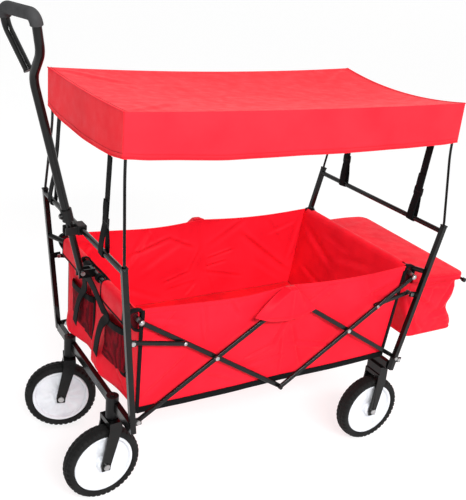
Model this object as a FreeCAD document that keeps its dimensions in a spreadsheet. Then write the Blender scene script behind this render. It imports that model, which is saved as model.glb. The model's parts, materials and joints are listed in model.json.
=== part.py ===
"""Folding pull wagon with a canopy, drawn as a parametric document.

Frame: +X forward (towards the pull handle), +Y left, +Z up, millimetres.
Origin: bottom centre of the whole wagon, on the floor.

Each side of the wagon is a double scissor between a front frame and a rear frame.  The bottom
pivots P0, BC and P0' stay level while the wagon folds, and the top pivots T, TC and T' rise.
From the outside in, a side is built in layers: upright, lug, outer bars, inner bars, tub wall.
"""
import FreeCAD, Part
import math
import os
import Sketcher

V = FreeCAD.Vector
X_AXIS, Y_AXIS, Z_AXIS = V(1, 0, 0), V(0, 1, 0), V(0, 0, 1)
SIDES = (("left", 1), ("right", -1))

# alias, value (mm or degrees), what it is
DIMS = [
    # frames
    ("tube", 13.6, "side of an upright's square tube"),
    ("tube_wall", 1.2, "wall of the steel tubes"),
    ("cap_t", 4.0, "thickness of an upright's end cap"),
    ("half_track", 277.8, "centre of the wagon to the middle of an upright"),
    ("top_height", 680.0, "height of the uprights' tops"),
    ("foot_height", 252.0, "height of the uprights' feet"),
    ("front_top_x", 471.0, "front uprights at their tops"),
    ("rear_top_x", -460.0, "rear uprights at their tops"),
    ("front_lean", 5.27, "front uprights lean forward"),
    ("rear_lean", -12.88, "rear uprights lean back"),
    ("bar_r", 7.0, "radius of the top crossbars"),
    ("front_bar_z", 671.0, "height of the front top crossbar"),
    ("rear_bar_z", 665.0, "height of the rear top crossbar"),
    ("rail_r", 7.0, "radius of the rim rails"),
    ("rail_z", 547.0, "height of the rim rails"),
    ("front_rail_x", 430.0, "front rim rail"),
    ("rear_rail_x", -395.0, "rear rim rail"),
    ("rail_straight", 205.0, "half length of a rim rail's straight middle"),
    ("low_z", 248.0, "underside of the lower crossbars"),
    ("low_tall", 25.0, "height of the lower crossbars"),
    ("low_deep", 14.0, "depth of the lower crossbars"),
    # scissor linkage
    ("pivot_z", 272.0, "height of the bottom pivots"),
    ("front_pivot_x", 415.0, "bottom front pivot P0"),
    ("rear_pivot_x", -397.0, "bottom rear pivot P0'"),
    ("link", 482.0, "pivot to pivot length of a scissor bar"),
    ("link_w", 12.0, "width of a scissor bar"),
    ("link_t", 8.0, "thickness of a scissor bar"),
    ("link_round", 2.6, "rounding of a scissor bar's edges"),
    ("layer_gap", 0.3, "gap between two layers"),
    ("lug_t", 3.0, "thickness of a pivot lug"),
    ("pin_r", 3.0, "radius of a pivot rivet"),
    ("pin_clear", 0.08, "running clearance of a pivot"),
    ("head_r", 5.5, "radius of a rivet head"),
    ("head_t", 2.0, "thickness of a rivet head"),
    ("stud_r", 5.0, "radius of the bolt head on a rear upright's outer face"),
    ("stud_t", 2.5, "thickness of that bolt head"),
    ("stud_z", 289.0, "height of that bolt head"),
    ("cross_r", 3.6, "radius of the cross rod under the floor"),
    ("brace_at", 134.0, "brace pivot, measured from the top end of its bar"),
    ("brace_w", 11.0, "width of a brace"),
    ("front_brace_x", 438.0, "front brace pivot on the upright"),
    ("front_brace_z", 488.0, "height of the front brace pivot"),
    ("rear_brace_x", -399.0, "rear brace pivot on the upright"),
    ("rear_brace_z", 481.0, "height of the rear brace pivot"),
    # wheels
    ("wheel_r", 100.0, "tyre's outer radius"),
    ("tyre_w", 40.0, "tyre's width"),
    ("rim_r", 78.0, "rim's outer radius"),
    ("rim_w", 34.0, "rim's width"),
    ("hub_r", 15.0, "hub's radius"),
    ("hub_w", 44.0, "hub's width"),
    ("axle_r", 4.0, "axle bolt's radius"),
    ("axle_head_r", 8.0, "axle bolt head's radius"),
    ("fork_in", 25.0, "wheel's middle to a fork leg's inner face"),
    ("fork_t", 5.0, "thickness of a fork leg"),
    ("crown_z", 224.0, "top of a fork's crown"),
    ("stem_x", 437.0, "caster stem"),
    ("stem_y", 160.0, "caster stem"),
    ("stem_r", 6.0, "radius of a caster stem"),
    ("housing_r", 16.0, "radius of a caster housing"),
    ("housing_tall", 60.0, "height of a caster housing"),
    ("trail", 24.0, "caster stem to its wheel's axle"),
    ("left_heading", 3.6, "left caster's heading at rest"),
    ("right_heading", -16.0, "right caster's heading at rest"),
    ("rear_axle_x", -345.7, "rear wheels' axle"),
    ("rear_wheel_y", 228.0, "rear wheels"),
    # pull handle
    ("handle_x", 466.0, "handle pivot"),
    ("handle_z", 555.0, "handle pivot"),
    ("handle_lean", 13.8, "handle's lean at rest"),
    ("loop_twist", 15.0, "the grip loop's turn about the shaft"),
    ("inner_r", 8.6, "handle's lower tube"),
    ("outer_r", 10.3, "handle's upper tube"),
    ("slide_clear", 0.15, "clearance between the handle's tubes"),
    ("lower_top", 430.0, "top of the lower tube, along the shaft"),
    ("upper_foot", 142.0, "foot of the upper tube, along the shaft"),
    ("grip_r", 14.0, "foam grip"),
    ("collar_r", 14.0, "lock collar"),
    ("collar_tall", 30.0, "lock collar"),
    ("button_r", 5.0, "lock button"),
    ("button_out", 5.0, "lock button stands proud"),
    ("ear_in", 9.0, "middle plane to a handle ear's inner face"),
    ("ear_t", 3.0, "thickness of a handle ear"),
    ("ear_tall", 22.0, "height of a handle ear"),
    ("ear_low", 13.0, "handle pivot down to an ear's lower edge"),
    ("bolt_r", 3.0, "handle pivot bolt's radius"),
    ("bolt_clear", 0.06, "clearance around the handle pivot bolt"),
    ("bolt_head_r", 5.5, "handle pivot bolt head's radius"),
    ("bolt_head_t", 3.5, "handle pivot bolt head's thickness"),
    # fabric
    ("cloth", 4.0, "thickness kept for a fabric wall"),
    ("tub_y", 246.0, "tub's outer face"),
    ("floor_z", 294.0, "underside of the tub's floor"),
    ("rim_z", 556.0, "top of the tub's walls"),
    ("tub_front_low", 411.0, "tub's front, at the floor"),
    ("tub_front_high", 416.0, "tub's front, at the rim"),
    ("tub_rear_low", -350.0, "tub's rear, at the floor"),
    ("tub_rear_high", -381.0, "tub's rear, at the rim"),
    ("cutout", 73.0, "half width of the front hem's cut-out"),
    ("hem_drop", 46.0, "drop of the front hem's outer flap"),
    ("roof_z", 1011.0, "top of the canopy"),
    ("skirt", 106.0, "drop of the canopy's skirt"),
    ("roof_front", 472.6, "canopy's front edge"),
    ("roof_rear", -475.7, "canopy's rear edge"),
    ("roof_y", 250.8, "canopy's half width"),
    ("rod_r", 3.5, "canopy rod"),
    ("strap_w", 25.0, "webbing's width"),
    ("strap_t", 1.6, "webbing's thickness"),
    ("bag_front", -408.0, "bag's front face"),
    ("bag_rear", -622.0, "bag's rear face"),
    ("bag_y", 236.0, "bag's half width"),
    ("bag_low", 316.0, "bag's underside"),
    ("bag_high", 495.0, "bag's top edge"),
    ("lid_x", -424.0, "bag lid's hinge line"),
    ("lid_t", 14.0, "bag lid's thickness"),
    ("lid_drop", 3.0, "bag lid's slope"),
    ("bag_rod_r", 4.0, "bag's stiffening rod"),
    ("bag_rod_z", 481.0, "bag's stiffening rod"),
    ("pocket_t", 16.0, "depth of the front pockets"),
    ("mat_t", 8.0, "floor mat's thickness"),
]

doc = FreeCAD.newDocument("pull_wagon")
sheet = doc.addObject("Spreadsheet::Sheet", "d")
for row, (alias, value, note) in enumerate(DIMS, start=1):
    sheet.set(f"A{row}", note)
    sheet.set(f"B{row}", str(value))
    sheet.setAlias(f"B{row}", alias)
doc.recompute()
D = {alias: float(sheet.get(alias)) for alias, _, _ in DIMS}
subparts = []


def size(expression):
    """The number that an expression on the sheet comes to."""
    value = sheet.evalExpression(str(expression))
    return float(getattr(value, "Value", value))


def place(x=0.0, y=0.0, z=0.0, axis=Y_AXIS, angle=0.0):
    return FreeCAD.Placement(V(x, y, z), FreeCAD.Rotation(axis, angle))


def node(obj, label):
    """Marks an object as a finished sub-part with its own name."""
    obj.Label = label
    subparts.append(obj)
    return obj


def bind(obj, **sizes):
    for name, expression in sizes.items():
        obj.setExpression(name, str(expression))
    return obj


# ---------------------------------------------------------------- Part primitives
def box(length, width, height, at, angle=0.0):
    """A box with its corner at a point, turned about the Y axis."""
    obj = bind(doc.addObject("Part::Box", "box"), Length=length, Width=width, Height=height)
    obj.Placement = place(*at, Y_AXIS, angle)
    return obj


def cylinder(radius, height, at, along=Z_AXIS):
    """A cylinder that starts at a point and runs along a direction."""
    obj = bind(doc.addObject("Part::Cylinder", "cylinder"), Radius=radius, Height=height)
    obj.Placement = FreeCAD.Placement(V(*at), FreeCAD.Rotation(Z_AXIS, along))
    return obj


def cut(base, *tools):
    for tool in tools:
        result = doc.addObject("Part::Cut", "cut")
        result.Base, result.Tool = base, tool
        base = result
    return base


def fuse(shapes):
    result = doc.addObject("Part::MultiFuse", "fusion")
    result.Shapes = shapes
    return result


def group(shapes):
    """Several separate solids in one node."""
    result = doc.addObject("Part::Compound", "group")
    result.Links = shapes
    return result


def tube(radius, wall, height, at, along=Z_AXIS):
    return cut(cylinder(radius, height, at, along), cylinder(f"{radius}-{wall}", height, at, along))


# ---------------------------------------------------------------- PartDesign helpers
def new_body(placement):
    body = doc.addObject("PartDesign::Body", "body")
    body.Placement = placement
    return body


def sketch_on(body, role, offset=0.0):
    """A sketch on one of the body's own origin planes, moved along the plane's normal."""
    sketch = body.newObject("Sketcher::SketchObject", "sketch")
    plane = next(f for f in body.Origin.OriginFeatures if f.Role == role)
    sketch.AttachmentSupport = [(plane, "")]
    sketch.MapMode = "FlatFace"
    sketch.AttachmentOffset = place(0, 0, offset)
    return sketch


def add_circle(sketch, x, y, radius):
    """A circle whose centre and radius are bound to the sheet."""
    g = sketch.addGeometry(Part.Circle(V(size(x), size(y), 0), Z_AXIS, size(radius)))
    for kind, expression in (("DistanceX", x), ("DistanceY", y)):
        c = sketch.addConstraint(Sketcher.Constraint(kind, -1, 1, g, 3, size(expression)))
        sketch.setExpression(f"Constraints[{c}]", str(expression))
    c = sketch.addConstraint(Sketcher.Constraint("Radius", g, size(radius)))
    sketch.setExpression(f"Constraints[{c}]", str(radius))


def add_polygon(sketch, points):
    """A closed outline whose corners are bound to the sheet."""
    at = [V(size(x), size(y), 0) for x, y in points]
    first = sketch.GeometryCount
    for i, p in enumerate(at):
        sketch.addGeometry(Part.LineSegment(p, at[(i + 1) % len(at)]))
    for i, (x, y) in enumerate(points):
        g, after = first + i, first + (i + 1) % len(at)
        sketch.addConstraint(Sketcher.Constraint("Coincident", g, 2, after, 1))
        for kind, expression in (("DistanceX", x), ("DistanceY", y)):
            c = sketch.addConstraint(Sketcher.Constraint(kind, -1, 1, g, 1, size(expression)))
            sketch.setExpression(f"Constraints[{c}]", str(expression))


def add_slot(sketch, length, half_width):
    """A bar's outline along the sketch's X axis, round at both ends, from pivot to pivot."""
    run, r = size(length), size(half_width)
    right, left = V(run, 0, 0), V(0, 0, 0)
    quarter = math.pi / 2
    sketch.addGeometry(Part.ArcOfCircle(Part.Circle(left, Z_AXIS, r), quarter, 3 * quarter))
    sketch.addGeometry(Part.LineSegment(V(0, -r, 0), V(run, -r, 0)))
    sketch.addGeometry(Part.ArcOfCircle(Part.Circle(right, Z_AXIS, r), -quarter, quarter))
    sketch.addGeometry(Part.LineSegment(V(run, r, 0), V(0, r, 0)))
    for a, end_a, b, end_b in ((0, 2, 1, 1), (1, 2, 2, 1), (2, 2, 3, 1), (3, 2, 0, 1)):
        sketch.addConstraint(Sketcher.Constraint("Tangent", a, end_a, b, end_b))
    sketch.addConstraint(Sketcher.Constraint("Coincident", 0, 3, -1, 1))
    sketch.addConstraint(Sketcher.Constraint("PointOnObject", 2, 3, -1))
    c = sketch.addConstraint(Sketcher.Constraint("DistanceX", 0, 3, 2, 3, run))
    sketch.setExpression(f"Constraints[{c}]", str(length))
    c = sketch.addConstraint(Sketcher.Constraint("Radius", 0, r))
    sketch.setExpression(f"Constraints[{c}]", str(half_width))


def pad(body, sketch, length, midplane=False, flip=False):
    feature = body.newObject("PartDesign::Pad", "pad")
    feature.Profile = sketch
    feature.Midplane, feature.Reversed = midplane, flip
    bind(feature, Length=length)
    return feature


def pocket(body, sketch, length, midplane=False, flip=False):
    feature = body.newObject("PartDesign::Pocket", "pocket")
    feature.Profile = sketch
    feature.Midplane, feature.Reversed = midplane, flip
    bind(feature, Length=length)
    return feature


def revolve(body, sketch):
    feature = body.newObject("PartDesign::Revolution", "turned")
    feature.Profile = sketch
    feature.ReferenceAxis = (sketch, ["V_Axis"])
    feature.Angle = 360
    return feature


def rounded_route(points, radii):
    """Straight runs joined by tangent arcs, through a list of corners in a plane."""
    route, start = [], points[0]
    for before, corner, after, r in zip(points, points[1:], points[2:], radii):
        to_before, to_after = (before - corner).normalize(), (after - corner).normalize()
        half = to_before.getAngle(to_after) / 2
        a = corner + to_before * (r / math.tan(half))
        b = corner + to_after * (r / math.tan(half))
        middle = (to_before + to_after).normalize()
        top = corner + middle * (r / math.sin(half) - r)
        route += [Part.LineSegment(start, a), Part.Arc(a, top, b)]
        start = b
    return route + [Part.LineSegment(start, points[-1])]


def pipe(points, radii, outer, inner=None, frame=None):
    """A bent tube in its frame's XZ plane, through corners given as (x, z)."""
    first, second = points[0], points[1]
    turn = math.atan2(second[0] - first[0], second[1] - first[1])
    local = []
    for x, z in points:
        dx, dz = x - first[0], z - first[1]
        local.append(V(dx * math.cos(turn) - dz * math.sin(turn),
                       dx * math.sin(turn) + dz * math.cos(turn), 0))
    here = place(first[0], 0, first[1], Y_AXIS, math.degrees(turn))
    body = new_body((frame or place()).multiply(here))
    spine = sketch_on(body, "XZ_Plane")
    spine.addGeometry(rounded_route(local, radii))
    spine.Visibility = False
    profile = sketch_on(body, "XY_Plane")
    add_circle(profile, "0", "0", outer)
    if inner:
        add_circle(profile, "0", "0", inner)
    feature = body.newObject("PartDesign::AdditivePipe", "pipe")
    feature.Profile = profile
    feature.Spine = spine
    return body


# ---------------------------------------------------------------- places worked out once
def rake(top_x, lean, z):
    """Where a leaning upright's middle is at a height."""
    return top_x - math.tan(math.radians(lean)) * (D["top_height"] - z)


def front_x(z):
    return rake(D["front_top_x"], D["front_lean"], z)


def rear_x(z):
    return rake(D["rear_top_x"], D["rear_lean"], z)


half_tube = D["tube"] / 2
upright_in = D["half_track"] - half_tube
outer_y = upright_in - D["lug_t"] - D["layer_gap"]
inner_y = outer_y - D["link_t"] - D["layer_gap"]
head_y = inner_y - D["link_t"] - D["layer_gap"]
half_span = (D["front_pivot_x"] - D["rear_pivot_x"]) / 2
centre_x = D["front_pivot_x"] - half_span
rise = math.sqrt(D["link"] ** 2 - half_span ** 2)
slope = math.degrees(math.acos(half_span / D["link"]))
top_z = D["pivot_z"] + rise
P0 = (D["front_pivot_x"], D["pivot_z"])
P0_REAR = (D["rear_pivot_x"], D["pivot_z"])
BOTTOM = (centre_x, D["pivot_z"])
TOP = (centre_x, top_z)
T_FRONT = (D["front_pivot_x"], top_z)
T_REAR = (D["rear_pivot_x"], top_z)
C_FRONT = ((P0[0] + TOP[0]) / 2, (P0[1] + TOP[1]) / 2)
C_REAR = ((P0_REAR[0] + TOP[0]) / 2, C_FRONT[1])
Q_FRONT = (D["front_brace_x"], D["front_brace_z"])
Q_REAR = (D["rear_brace_x"], D["rear_brace_z"])


def along_link(start, end, distance):
    share = distance / D["link"]
    return tuple(a + (b - a) * share for a, b in zip(start, end))


E_FRONT = along_link(T_FRONT, BOTTOM, D["brace_at"])
E_REAR = along_link(T_REAR, BOTTOM, D["brace_at"])


def inner_from(side, y, thickness=0.0):
    """The lower Y of a plate whose outer face is at y on one side."""
    return y - thickness if side > 0 else -y


# ---------------------------------------------------------------- frames
def upright(side, top_x, lean, lugs):
    """A square tube with its welded pivot lugs on the inner face."""
    foot = rake(top_x, lean, D["foot_height"])
    length = f"(d.top_height-d.foot_height)/cos({lean})"
    body = new_body(place(foot, side * D["half_track"], D["foot_height"], Y_AXIS, lean))
    section = sketch_on(body, "XY_Plane")
    for half in ("d.tube/2", "d.tube/2-d.tube_wall"):
        add_polygon(section, [(f"-({half})", f"-({half})"), (half, f"-({half})"),
                              (half, half), (f"-({half})", half)])
    pad(body, section, length)
    turn = body.Placement.inverse()
    for x, z in lugs:
        at = turn.multVec(V(x, side * D["half_track"], z))
        reach = math.copysign(8.0, at.x)
        back = -math.copysign(half_tube - 1, at.x)
        # the XZ plane's normal points to -Y, so the lug's sketch is moved by minus its place
        start = -half_tube if side > 0 else half_tube
        lug = sketch_on(body, "XZ_Plane", -start)
        add_polygon(lug, [(f"{back}", f"{at.z - 8}"), (f"{at.x + reach}", f"{at.z - 8}"),
                          (f"{at.x + reach}", f"{at.z + 8}"), (f"{back}", f"{at.z + 8}")])
        add_circle(lug, f"{at.x}", f"{at.z}", "d.pin_r")
        pad(body, lug, "d.lug_t", flip=side < 0)
    return body


def end_cap(x, side, lean):
    """A cap on an upright's top, with a hole for the canopy rod."""
    frame = place(x, side * D["half_track"], D["top_height"], Y_AXIS, lean)
    lip = box("d.tube+2", "d.tube+2", "d.cap_t", (0, 0, 0))
    lip.Placement = frame.multiply(place(-half_tube - 1, -half_tube - 1, 0))
    socket = cylinder("d.rod_r+1.8", "3*d.cap_t", (0, 0, 0))
    socket.Placement = frame.multiply(place(0, 0, -D["cap_t"]))
    return cut(lip, socket)


def top_bar(label, x, z):
    start = -(D["half_track"] - half_tube)
    bar = tube("d.bar_r", "d.tube_wall", "2*d.half_track-d.tube", (x, start, z), Y_AXIS)
    return node(bar, label)


def rim_rail(label, x, upright_x):
    """A tube across the wagon, bent out to the uprights at both ends."""
    end = D["half_track"] - half_tube
    straight = D["rail_straight"]
    points = [(upright_x, -end), (x, -straight), (x, straight), (upright_x, end)]
    frame = FreeCAD.Placement(V(0, 0, D["rail_z"]), FreeCAD.Rotation(X_AXIS, -90))
    rail = pipe(points, (40, 40), "d.rail_r", "d.rail_r-d.tube_wall", frame)
    beyond = [box("80", "20", "40", (upright_x - 40, y, D["rail_z"] - 20))
              for y in (end, -end - 20)]
    sleeve = pipe(points, (40, 40), "d.rail_r+0.3", None, frame)
    node(cut(rail, *beyond), label)
    return sleeve


def low_bar(label, x, holes=()):
    """The lower crossbar between the bottom lugs, notched for the caster housings."""
    start = D["lug_t"] - upright_in
    bar = box("d.low_deep", "2*d.half_track-d.tube-2*d.lug_t", "d.low_tall",
              (x - D["low_deep"] / 2, start, D["low_z"]))
    inner = box("d.low_deep-2*d.tube_wall", "2*d.half_track-d.tube-2*d.lug_t",
                "d.low_tall-2*d.tube_wall",
                (x - D["low_deep"] / 2 + D["tube_wall"], start, D["low_z"] + D["tube_wall"]))
    return node(cut(bar, inner, *holes), label)


def rivet(at, side, low, high):
    """A rivet across the layers, headed at both ends; low and high are its shaft's |Y|."""
    x, z = at
    outward = Y_AXIS * side
    return fuse([cylinder("d.pin_r", f"{high - low}", (x, side * low, z), outward),
                 cylinder("d.head_r", "d.head_t", (x, side * (low - D["head_t"]), z), outward),
                 cylinder("d.head_r", "d.head_t", (x, side * high, z), outward)])


def stud(at, side):
    """The bolt head on an upright's outer face."""
    x, z = at
    return cylinder("d.stud_r", "d.stud_t", (x, side * (D["half_track"] + half_tube), z),
                    Y_AXIS * side)


def build_frame(name, top_x, lean, lugs, bar_z, rail_x):
    node(group([upright(side, top_x, lean, lugs) for _, side in SIDES]), f"{name}_uprights")
    node(group([end_cap(top_x, side, lean) for _, side in SIDES]), f"{name}_end_caps")
    top_bar(f"{name}_top_bar", rake(top_x, lean, bar_z), bar_z)
    return rim_rail(f"{name}_rim_rail", rail_x, rake(top_x, lean, D["rail_z"]))


front_sleeve = build_frame("front", D["front_top_x"], D["front_lean"], (P0, Q_FRONT),
                           D["front_bar_z"], D["front_rail_x"])
rear_sleeve = build_frame("rear", D["rear_top_x"], D["rear_lean"], (P0_REAR, Q_REAR),
                          D["rear_bar_z"], D["rear_rail_x"])

housing_base = D["crown_z"] + 2
low_bar("front_lower_bar", front_x(D["low_z"]), [
    cylinder("d.housing_r", "d.housing_tall", (D["stem_x"], side * D["stem_y"], housing_base))
    for _, side in SIDES])
low_bar("rear_lower_bar", rear_x(D["low_z"]))
node(group([
    tube("d.housing_r", "(d.housing_r-d.stem_r-d.pin_clear)", "d.housing_tall",
         (D["stem_x"], side * D["stem_y"], housing_base)) for _, side in SIDES]), "caster_housings")

pivot_low, pivot_high = outer_y - D["link_t"] - D["layer_gap"], upright_in
node(group([rivet(at, side, pivot_low, pivot_high) for _, side in SIDES for at in (P0, Q_FRONT)]),
     "front_pivot_rivets")


def shouldered(at, side):
    """A rivet with a spacer shoulder, for a bar in the inner layer."""
    spacer = cylinder("d.head_r", f"{upright_in - D['lug_t'] - inner_y - D['layer_gap']}",
                      (at[0], side * (inner_y + D["layer_gap"]), at[1]), Y_AXIS * side)
    return fuse([rivet(at, side, head_y, upright_in), spacer])


node(group([s for _, side in SIDES for s in (
    shouldered(P0_REAR, side), shouldered(Q_REAR, side),
    stud((rear_x(D["stud_z"]), D["stud_z"]), side))]), "rear_pivot_rivets")


# ---------------------------------------------------------------- scissor bars and braces
def link(side, outer, start, end, length, width, holes):
    """A flat bar from start to end, with bores given as (distance from start, radius)."""
    angle = math.degrees(math.atan2(end[1] - start[1], end[0] - start[0]))
    face = outer_y if outer else inner_y
    body = new_body(place(start[0], side * face, start[1], Y_AXIS, -angle))
    outline = sketch_on(body, "XZ_Plane")
    add_slot(outline, length, width)
    base = pad(body, outline, "d.link_t", flip=side < 0)
    softened = body.newObject("PartDesign::Fillet", "rounding")
    softened.Base = (base, [""])
    softened.UseAllEdges = True
    bind(softened, Radius="d.link_round")
    if holes:
        bores = sketch_on(body, "XZ_Plane")
        for distance, radius in holes:
            add_circle(bores, distance, "0", radius)
        pocket(body, bores, "2*d.link_t+10", midplane=True)
    return body


def link_pair(label, outer, start, end, length, width, holes):
    """The same bar on the left and on the right."""
    bars = [link(side, outer, start, end, length, width, holes) for _, side in SIDES]
    return node(group(bars), label)


FIT, LOOSE = "d.pin_r", "d.pin_r+d.pin_clear"
link_pair("front_lift_bars", True, P0, TOP, "d.link", "d.link_w/2",
          [("0", LOOSE), ("d.link/2", FIT), ("d.link", FIT)])
link_pair("front_drop_bars", False, T_FRONT, BOTTOM, "d.link", "d.link_w/2",
          [("d.link/2", LOOSE), ("d.link", "d.cross_r")])
link_pair("rear_lift_bars", True, T_REAR, BOTTOM, "d.link", "d.link_w/2",
          [("d.link/2", FIT), ("d.link", "d.cross_r+d.pin_clear")])
link_pair("rear_drop_bars", False, TOP, P0_REAR, "d.link", "d.link_w/2",
          [("0", LOOSE), ("d.link/2", LOOSE), ("d.link", LOOSE)])
link_pair("front_braces", True, Q_FRONT, E_FRONT, f"{math.dist(Q_FRONT, E_FRONT)}",
          "d.brace_w/2", [("0", LOOSE)])
link_pair("rear_braces", False, Q_REAR, E_REAR, f"{math.dist(Q_REAR, E_REAR)}",
          "d.brace_w/2", [("0", LOOSE)])


# the rivets that hold an outer and an inner bar together
node(group([rivet(at, side, head_y, outer_y) for _, side in SIDES for at in (C_FRONT, TOP)]),
     "front_scissor_rivets")
node(group([rivet(C_REAR, side, head_y, outer_y) for _, side in SIDES]), "rear_scissor_rivets")

ends = [cylinder("d.head_r", "d.head_t", (BOTTOM[0], side * (outer_y + D["layer_gap"]), BOTTOM[1]),
                 Y_AXIS * side) for _, side in SIDES]
rod = cylinder("d.cross_r", f"{2 * (outer_y + D['layer_gap'])}",
               (BOTTOM[0], -(outer_y + D["layer_gap"]), BOTTOM[1]), Y_AXIS)
node(fuse([rod, *ends]), "floor_cross_rod")


# ---------------------------------------------------------------- wheels
def wheel_parts(word, at, heading):
    """A tyre and a rim, turned about the wheel's axis."""
    frame = FreeCAD.Placement(V(*at), FreeCAD.Rotation(Z_AXIS, heading))
    upright_axis = FreeCAD.Placement(V(), FreeCAD.Rotation(X_AXIS, -90))
    spin = frame.multiply(upright_axis)

    def turned(label, outline):
        body = new_body(spin)
        sketch = sketch_on(body, "XZ_Plane")
        add_polygon(sketch, outline)
        revolve(body, sketch)
        return node(body, label)

    w, r = "d.tyre_w/2", "d.wheel_r"
    turned(f"{word}_tyre", [
        ("d.rim_r", f"-({w})+3"), (f"{r}-9", f"-({w})"), (f"{r}-3", f"-({w})+5"),
        (r, f"-({w})+12"), (r, f"{w}-12"), (f"{r}-3", f"{w}-5"), (f"{r}-9", w),
        ("d.rim_r", f"{w}-3")])
    rim, hub = "d.rim_w/2", "d.hub_w/2"
    turned(f"{word}_rim", [
        ("d.axle_r+d.pin_clear", f"-({hub})"), ("d.hub_r", f"-({hub})"), ("d.hub_r+1", "-6"),
        ("d.rim_r-8", "-7"), ("d.rim_r-6", f"-({rim})"), ("d.rim_r", f"-({rim})"),
        ("d.rim_r", rim), ("d.rim_r-6", rim), ("d.rim_r-8", "7"), ("d.hub_r+1", "6"),
        ("d.hub_r", hub), ("d.axle_r+d.pin_clear", hub)])
    return frame


def axle(frame):
    """The axle bolt with its head and nut outside the fork."""
    reach = D["fork_in"] + D["fork_t"]
    shaft = cylinder("d.axle_r", f"{2 * reach}", (0, 0, 0), Y_AXIS)
    parts = [shaft]
    shaft.Placement = frame.multiply(FreeCAD.Placement(V(0, -reach, 0), shaft.Placement.Rotation))
    for side in (1, -1):
        head = cylinder("d.axle_head_r", "5", (0, 0, 0), Y_AXIS * side)
        head.Placement = frame.multiply(FreeCAD.Placement(V(0, side * reach, 0),
                                                          head.Placement.Rotation))
        parts.append(head)
    return fuse(parts)


def fork(frame, crown_back, crown_front, stem_back):
    """Two tapered legs under a crown, in a frame whose origin is the wheel's centre."""
    top = f"d.crown_z-{frame.Base.z}"
    body = new_body(frame)
    legs = sketch_on(body, "XZ_Plane")
    add_polygon(legs, [("-11", "-13"), ("11", "-13"), ("13", "2"),
                       (f"{crown_front}", f"{top}-22"), (f"{crown_front}", top),
                       (f"{crown_back}", top), (f"{crown_back}", f"{top}-22"), ("-13", "2")])
    pad(body, legs, "2*d.fork_in+2*d.fork_t", midplane=True)
    gap = sketch_on(body, "XZ_Plane")
    add_polygon(gap, [("-60", "-30"), ("60", "-30"), ("60", f"{top}-12"), ("-60", f"{top}-12")])
    pocket(body, gap, "2*d.fork_in", midplane=True)
    bore = sketch_on(body, "XZ_Plane")
    add_circle(bore, "0", "0", "d.axle_r")
    pocket(body, bore, "2*d.fork_in+2*d.fork_t+2", midplane=True)
    if stem_back:
        stem = sketch_on(body, "XY_Plane")
        add_circle(stem, f"-{stem_back}", "0", "d.stem_r")
        raised = size(top)
        stem.AttachmentOffset = place(0, 0, raised - 1)
        pad(body, stem, "d.housing_tall+6")
    return body


for (word, side), heading in zip(SIDES, ("left_heading", "right_heading")):
    turn = math.radians(D[heading])
    at = (D["stem_x"] + D["trail"] * math.cos(turn),
          side * D["stem_y"] + D["trail"] * math.sin(turn), D["wheel_r"])
    frame = wheel_parts(f"front_{word}", at, D[heading])
    node(fork(frame, -40, -6, "d.trail"), f"caster_fork_{word}")
    node(axle(frame), f"caster_axle_{word}")

rear_forks, rear_axles = [], []
for word, side in SIDES:
    at = (D["rear_axle_x"], side * D["rear_wheel_y"], D["wheel_r"])
    frame = wheel_parts(f"rear_{word}", at, 0.0)
    rear_forks.append(fork(frame, -30, 2, None))
    rear_axles.append(axle(frame))
blocks = [box("28", "2*d.fork_in+2*d.fork_t", "d.low_z-d.crown_z",
              (rear_x(D["low_z"]) - 14, side * D["rear_wheel_y"] - D["fork_in"] - D["fork_t"],
               D["crown_z"])) for _, side in SIDES]
node(group([fuse([f, b]) for f, b in zip(rear_forks, blocks)]), "rear_forks")
node(group(rear_axles), "rear_axles")


# ---------------------------------------------------------------- pull handle
shaft = place(D["handle_x"], 0, D["handle_z"], Y_AXIS, D["handle_lean"])
twisted = shaft.multiply(FreeCAD.Placement(V(), FreeCAD.Rotation(Z_AXIS, D["loop_twist"] + 90)))
LOOP = [(0, D["upper_foot"]), (0, 492), (58, 550), (73, 630), (-50, 640), (-58, 600), (-12, 509)]
LOOP_RADII = (60, 60, 18, 24, 50)

ears = []
for _, side in SIDES:
    ear = box("d.handle_x-d.front_rail_x+6", "d.ear_t", "d.ear_tall",
              (D["front_rail_x"] + 3, inner_from(side, D["ear_in"] + D["ear_t"], D["ear_t"]),
               D["handle_z"] - D["ear_low"]))
    ears.append(ear)
strap_back = box("6", "2*(d.ear_in+d.ear_t)", "d.ear_tall",
                 (D["front_rail_x"] + D["rail_r"], -(D["ear_in"] + D["ear_t"]),
                  D["handle_z"] - D["ear_low"]))
rail_core = cylinder("d.rail_r", "80", (D["front_rail_x"], -40, D["rail_z"]), Y_AXIS)
bolt_bore = cylinder("d.bolt_r+d.bolt_clear", "40", (D["handle_x"], -20, D["handle_z"]), Y_AXIS)
node(cut(fuse([*ears, strap_back]), rail_core, bolt_bore), "handle_clevis")

bolt = [cylinder("d.bolt_r", "2*(d.ear_in+d.ear_t)",
                 (D["handle_x"], -(D["ear_in"] + D["ear_t"]), D["handle_z"]), Y_AXIS)]
for _, side in SIDES:
    bolt.append(cylinder("d.bolt_head_r", "d.bolt_head_t",
                         (D["handle_x"], side * (D["ear_in"] + D["ear_t"]), D["handle_z"]),
                         Y_AXIS * side))
node(fuse(bolt), "handle_pivot_bolt")

lower = tube("d.inner_r", "d.tube_wall", "d.lower_top+12", (0, 0, 0))
lower.Placement = shaft.multiply(place(0, 0, -12))
cross_bore = cylinder("d.bolt_r+d.pin_clear", "30", (D["handle_x"], -15, D["handle_z"]), Y_AXIS)
node(cut(lower, cross_bore), "handle_lower_tube")

node(pipe(LOOP, LOOP_RADII, "d.outer_r", "d.inner_r+d.slide_clear", twisted), "handle_upper_tube")


def between(a, b, share):
    return tuple(p + (q - p) * share for p, q in zip(a, b))


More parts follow.
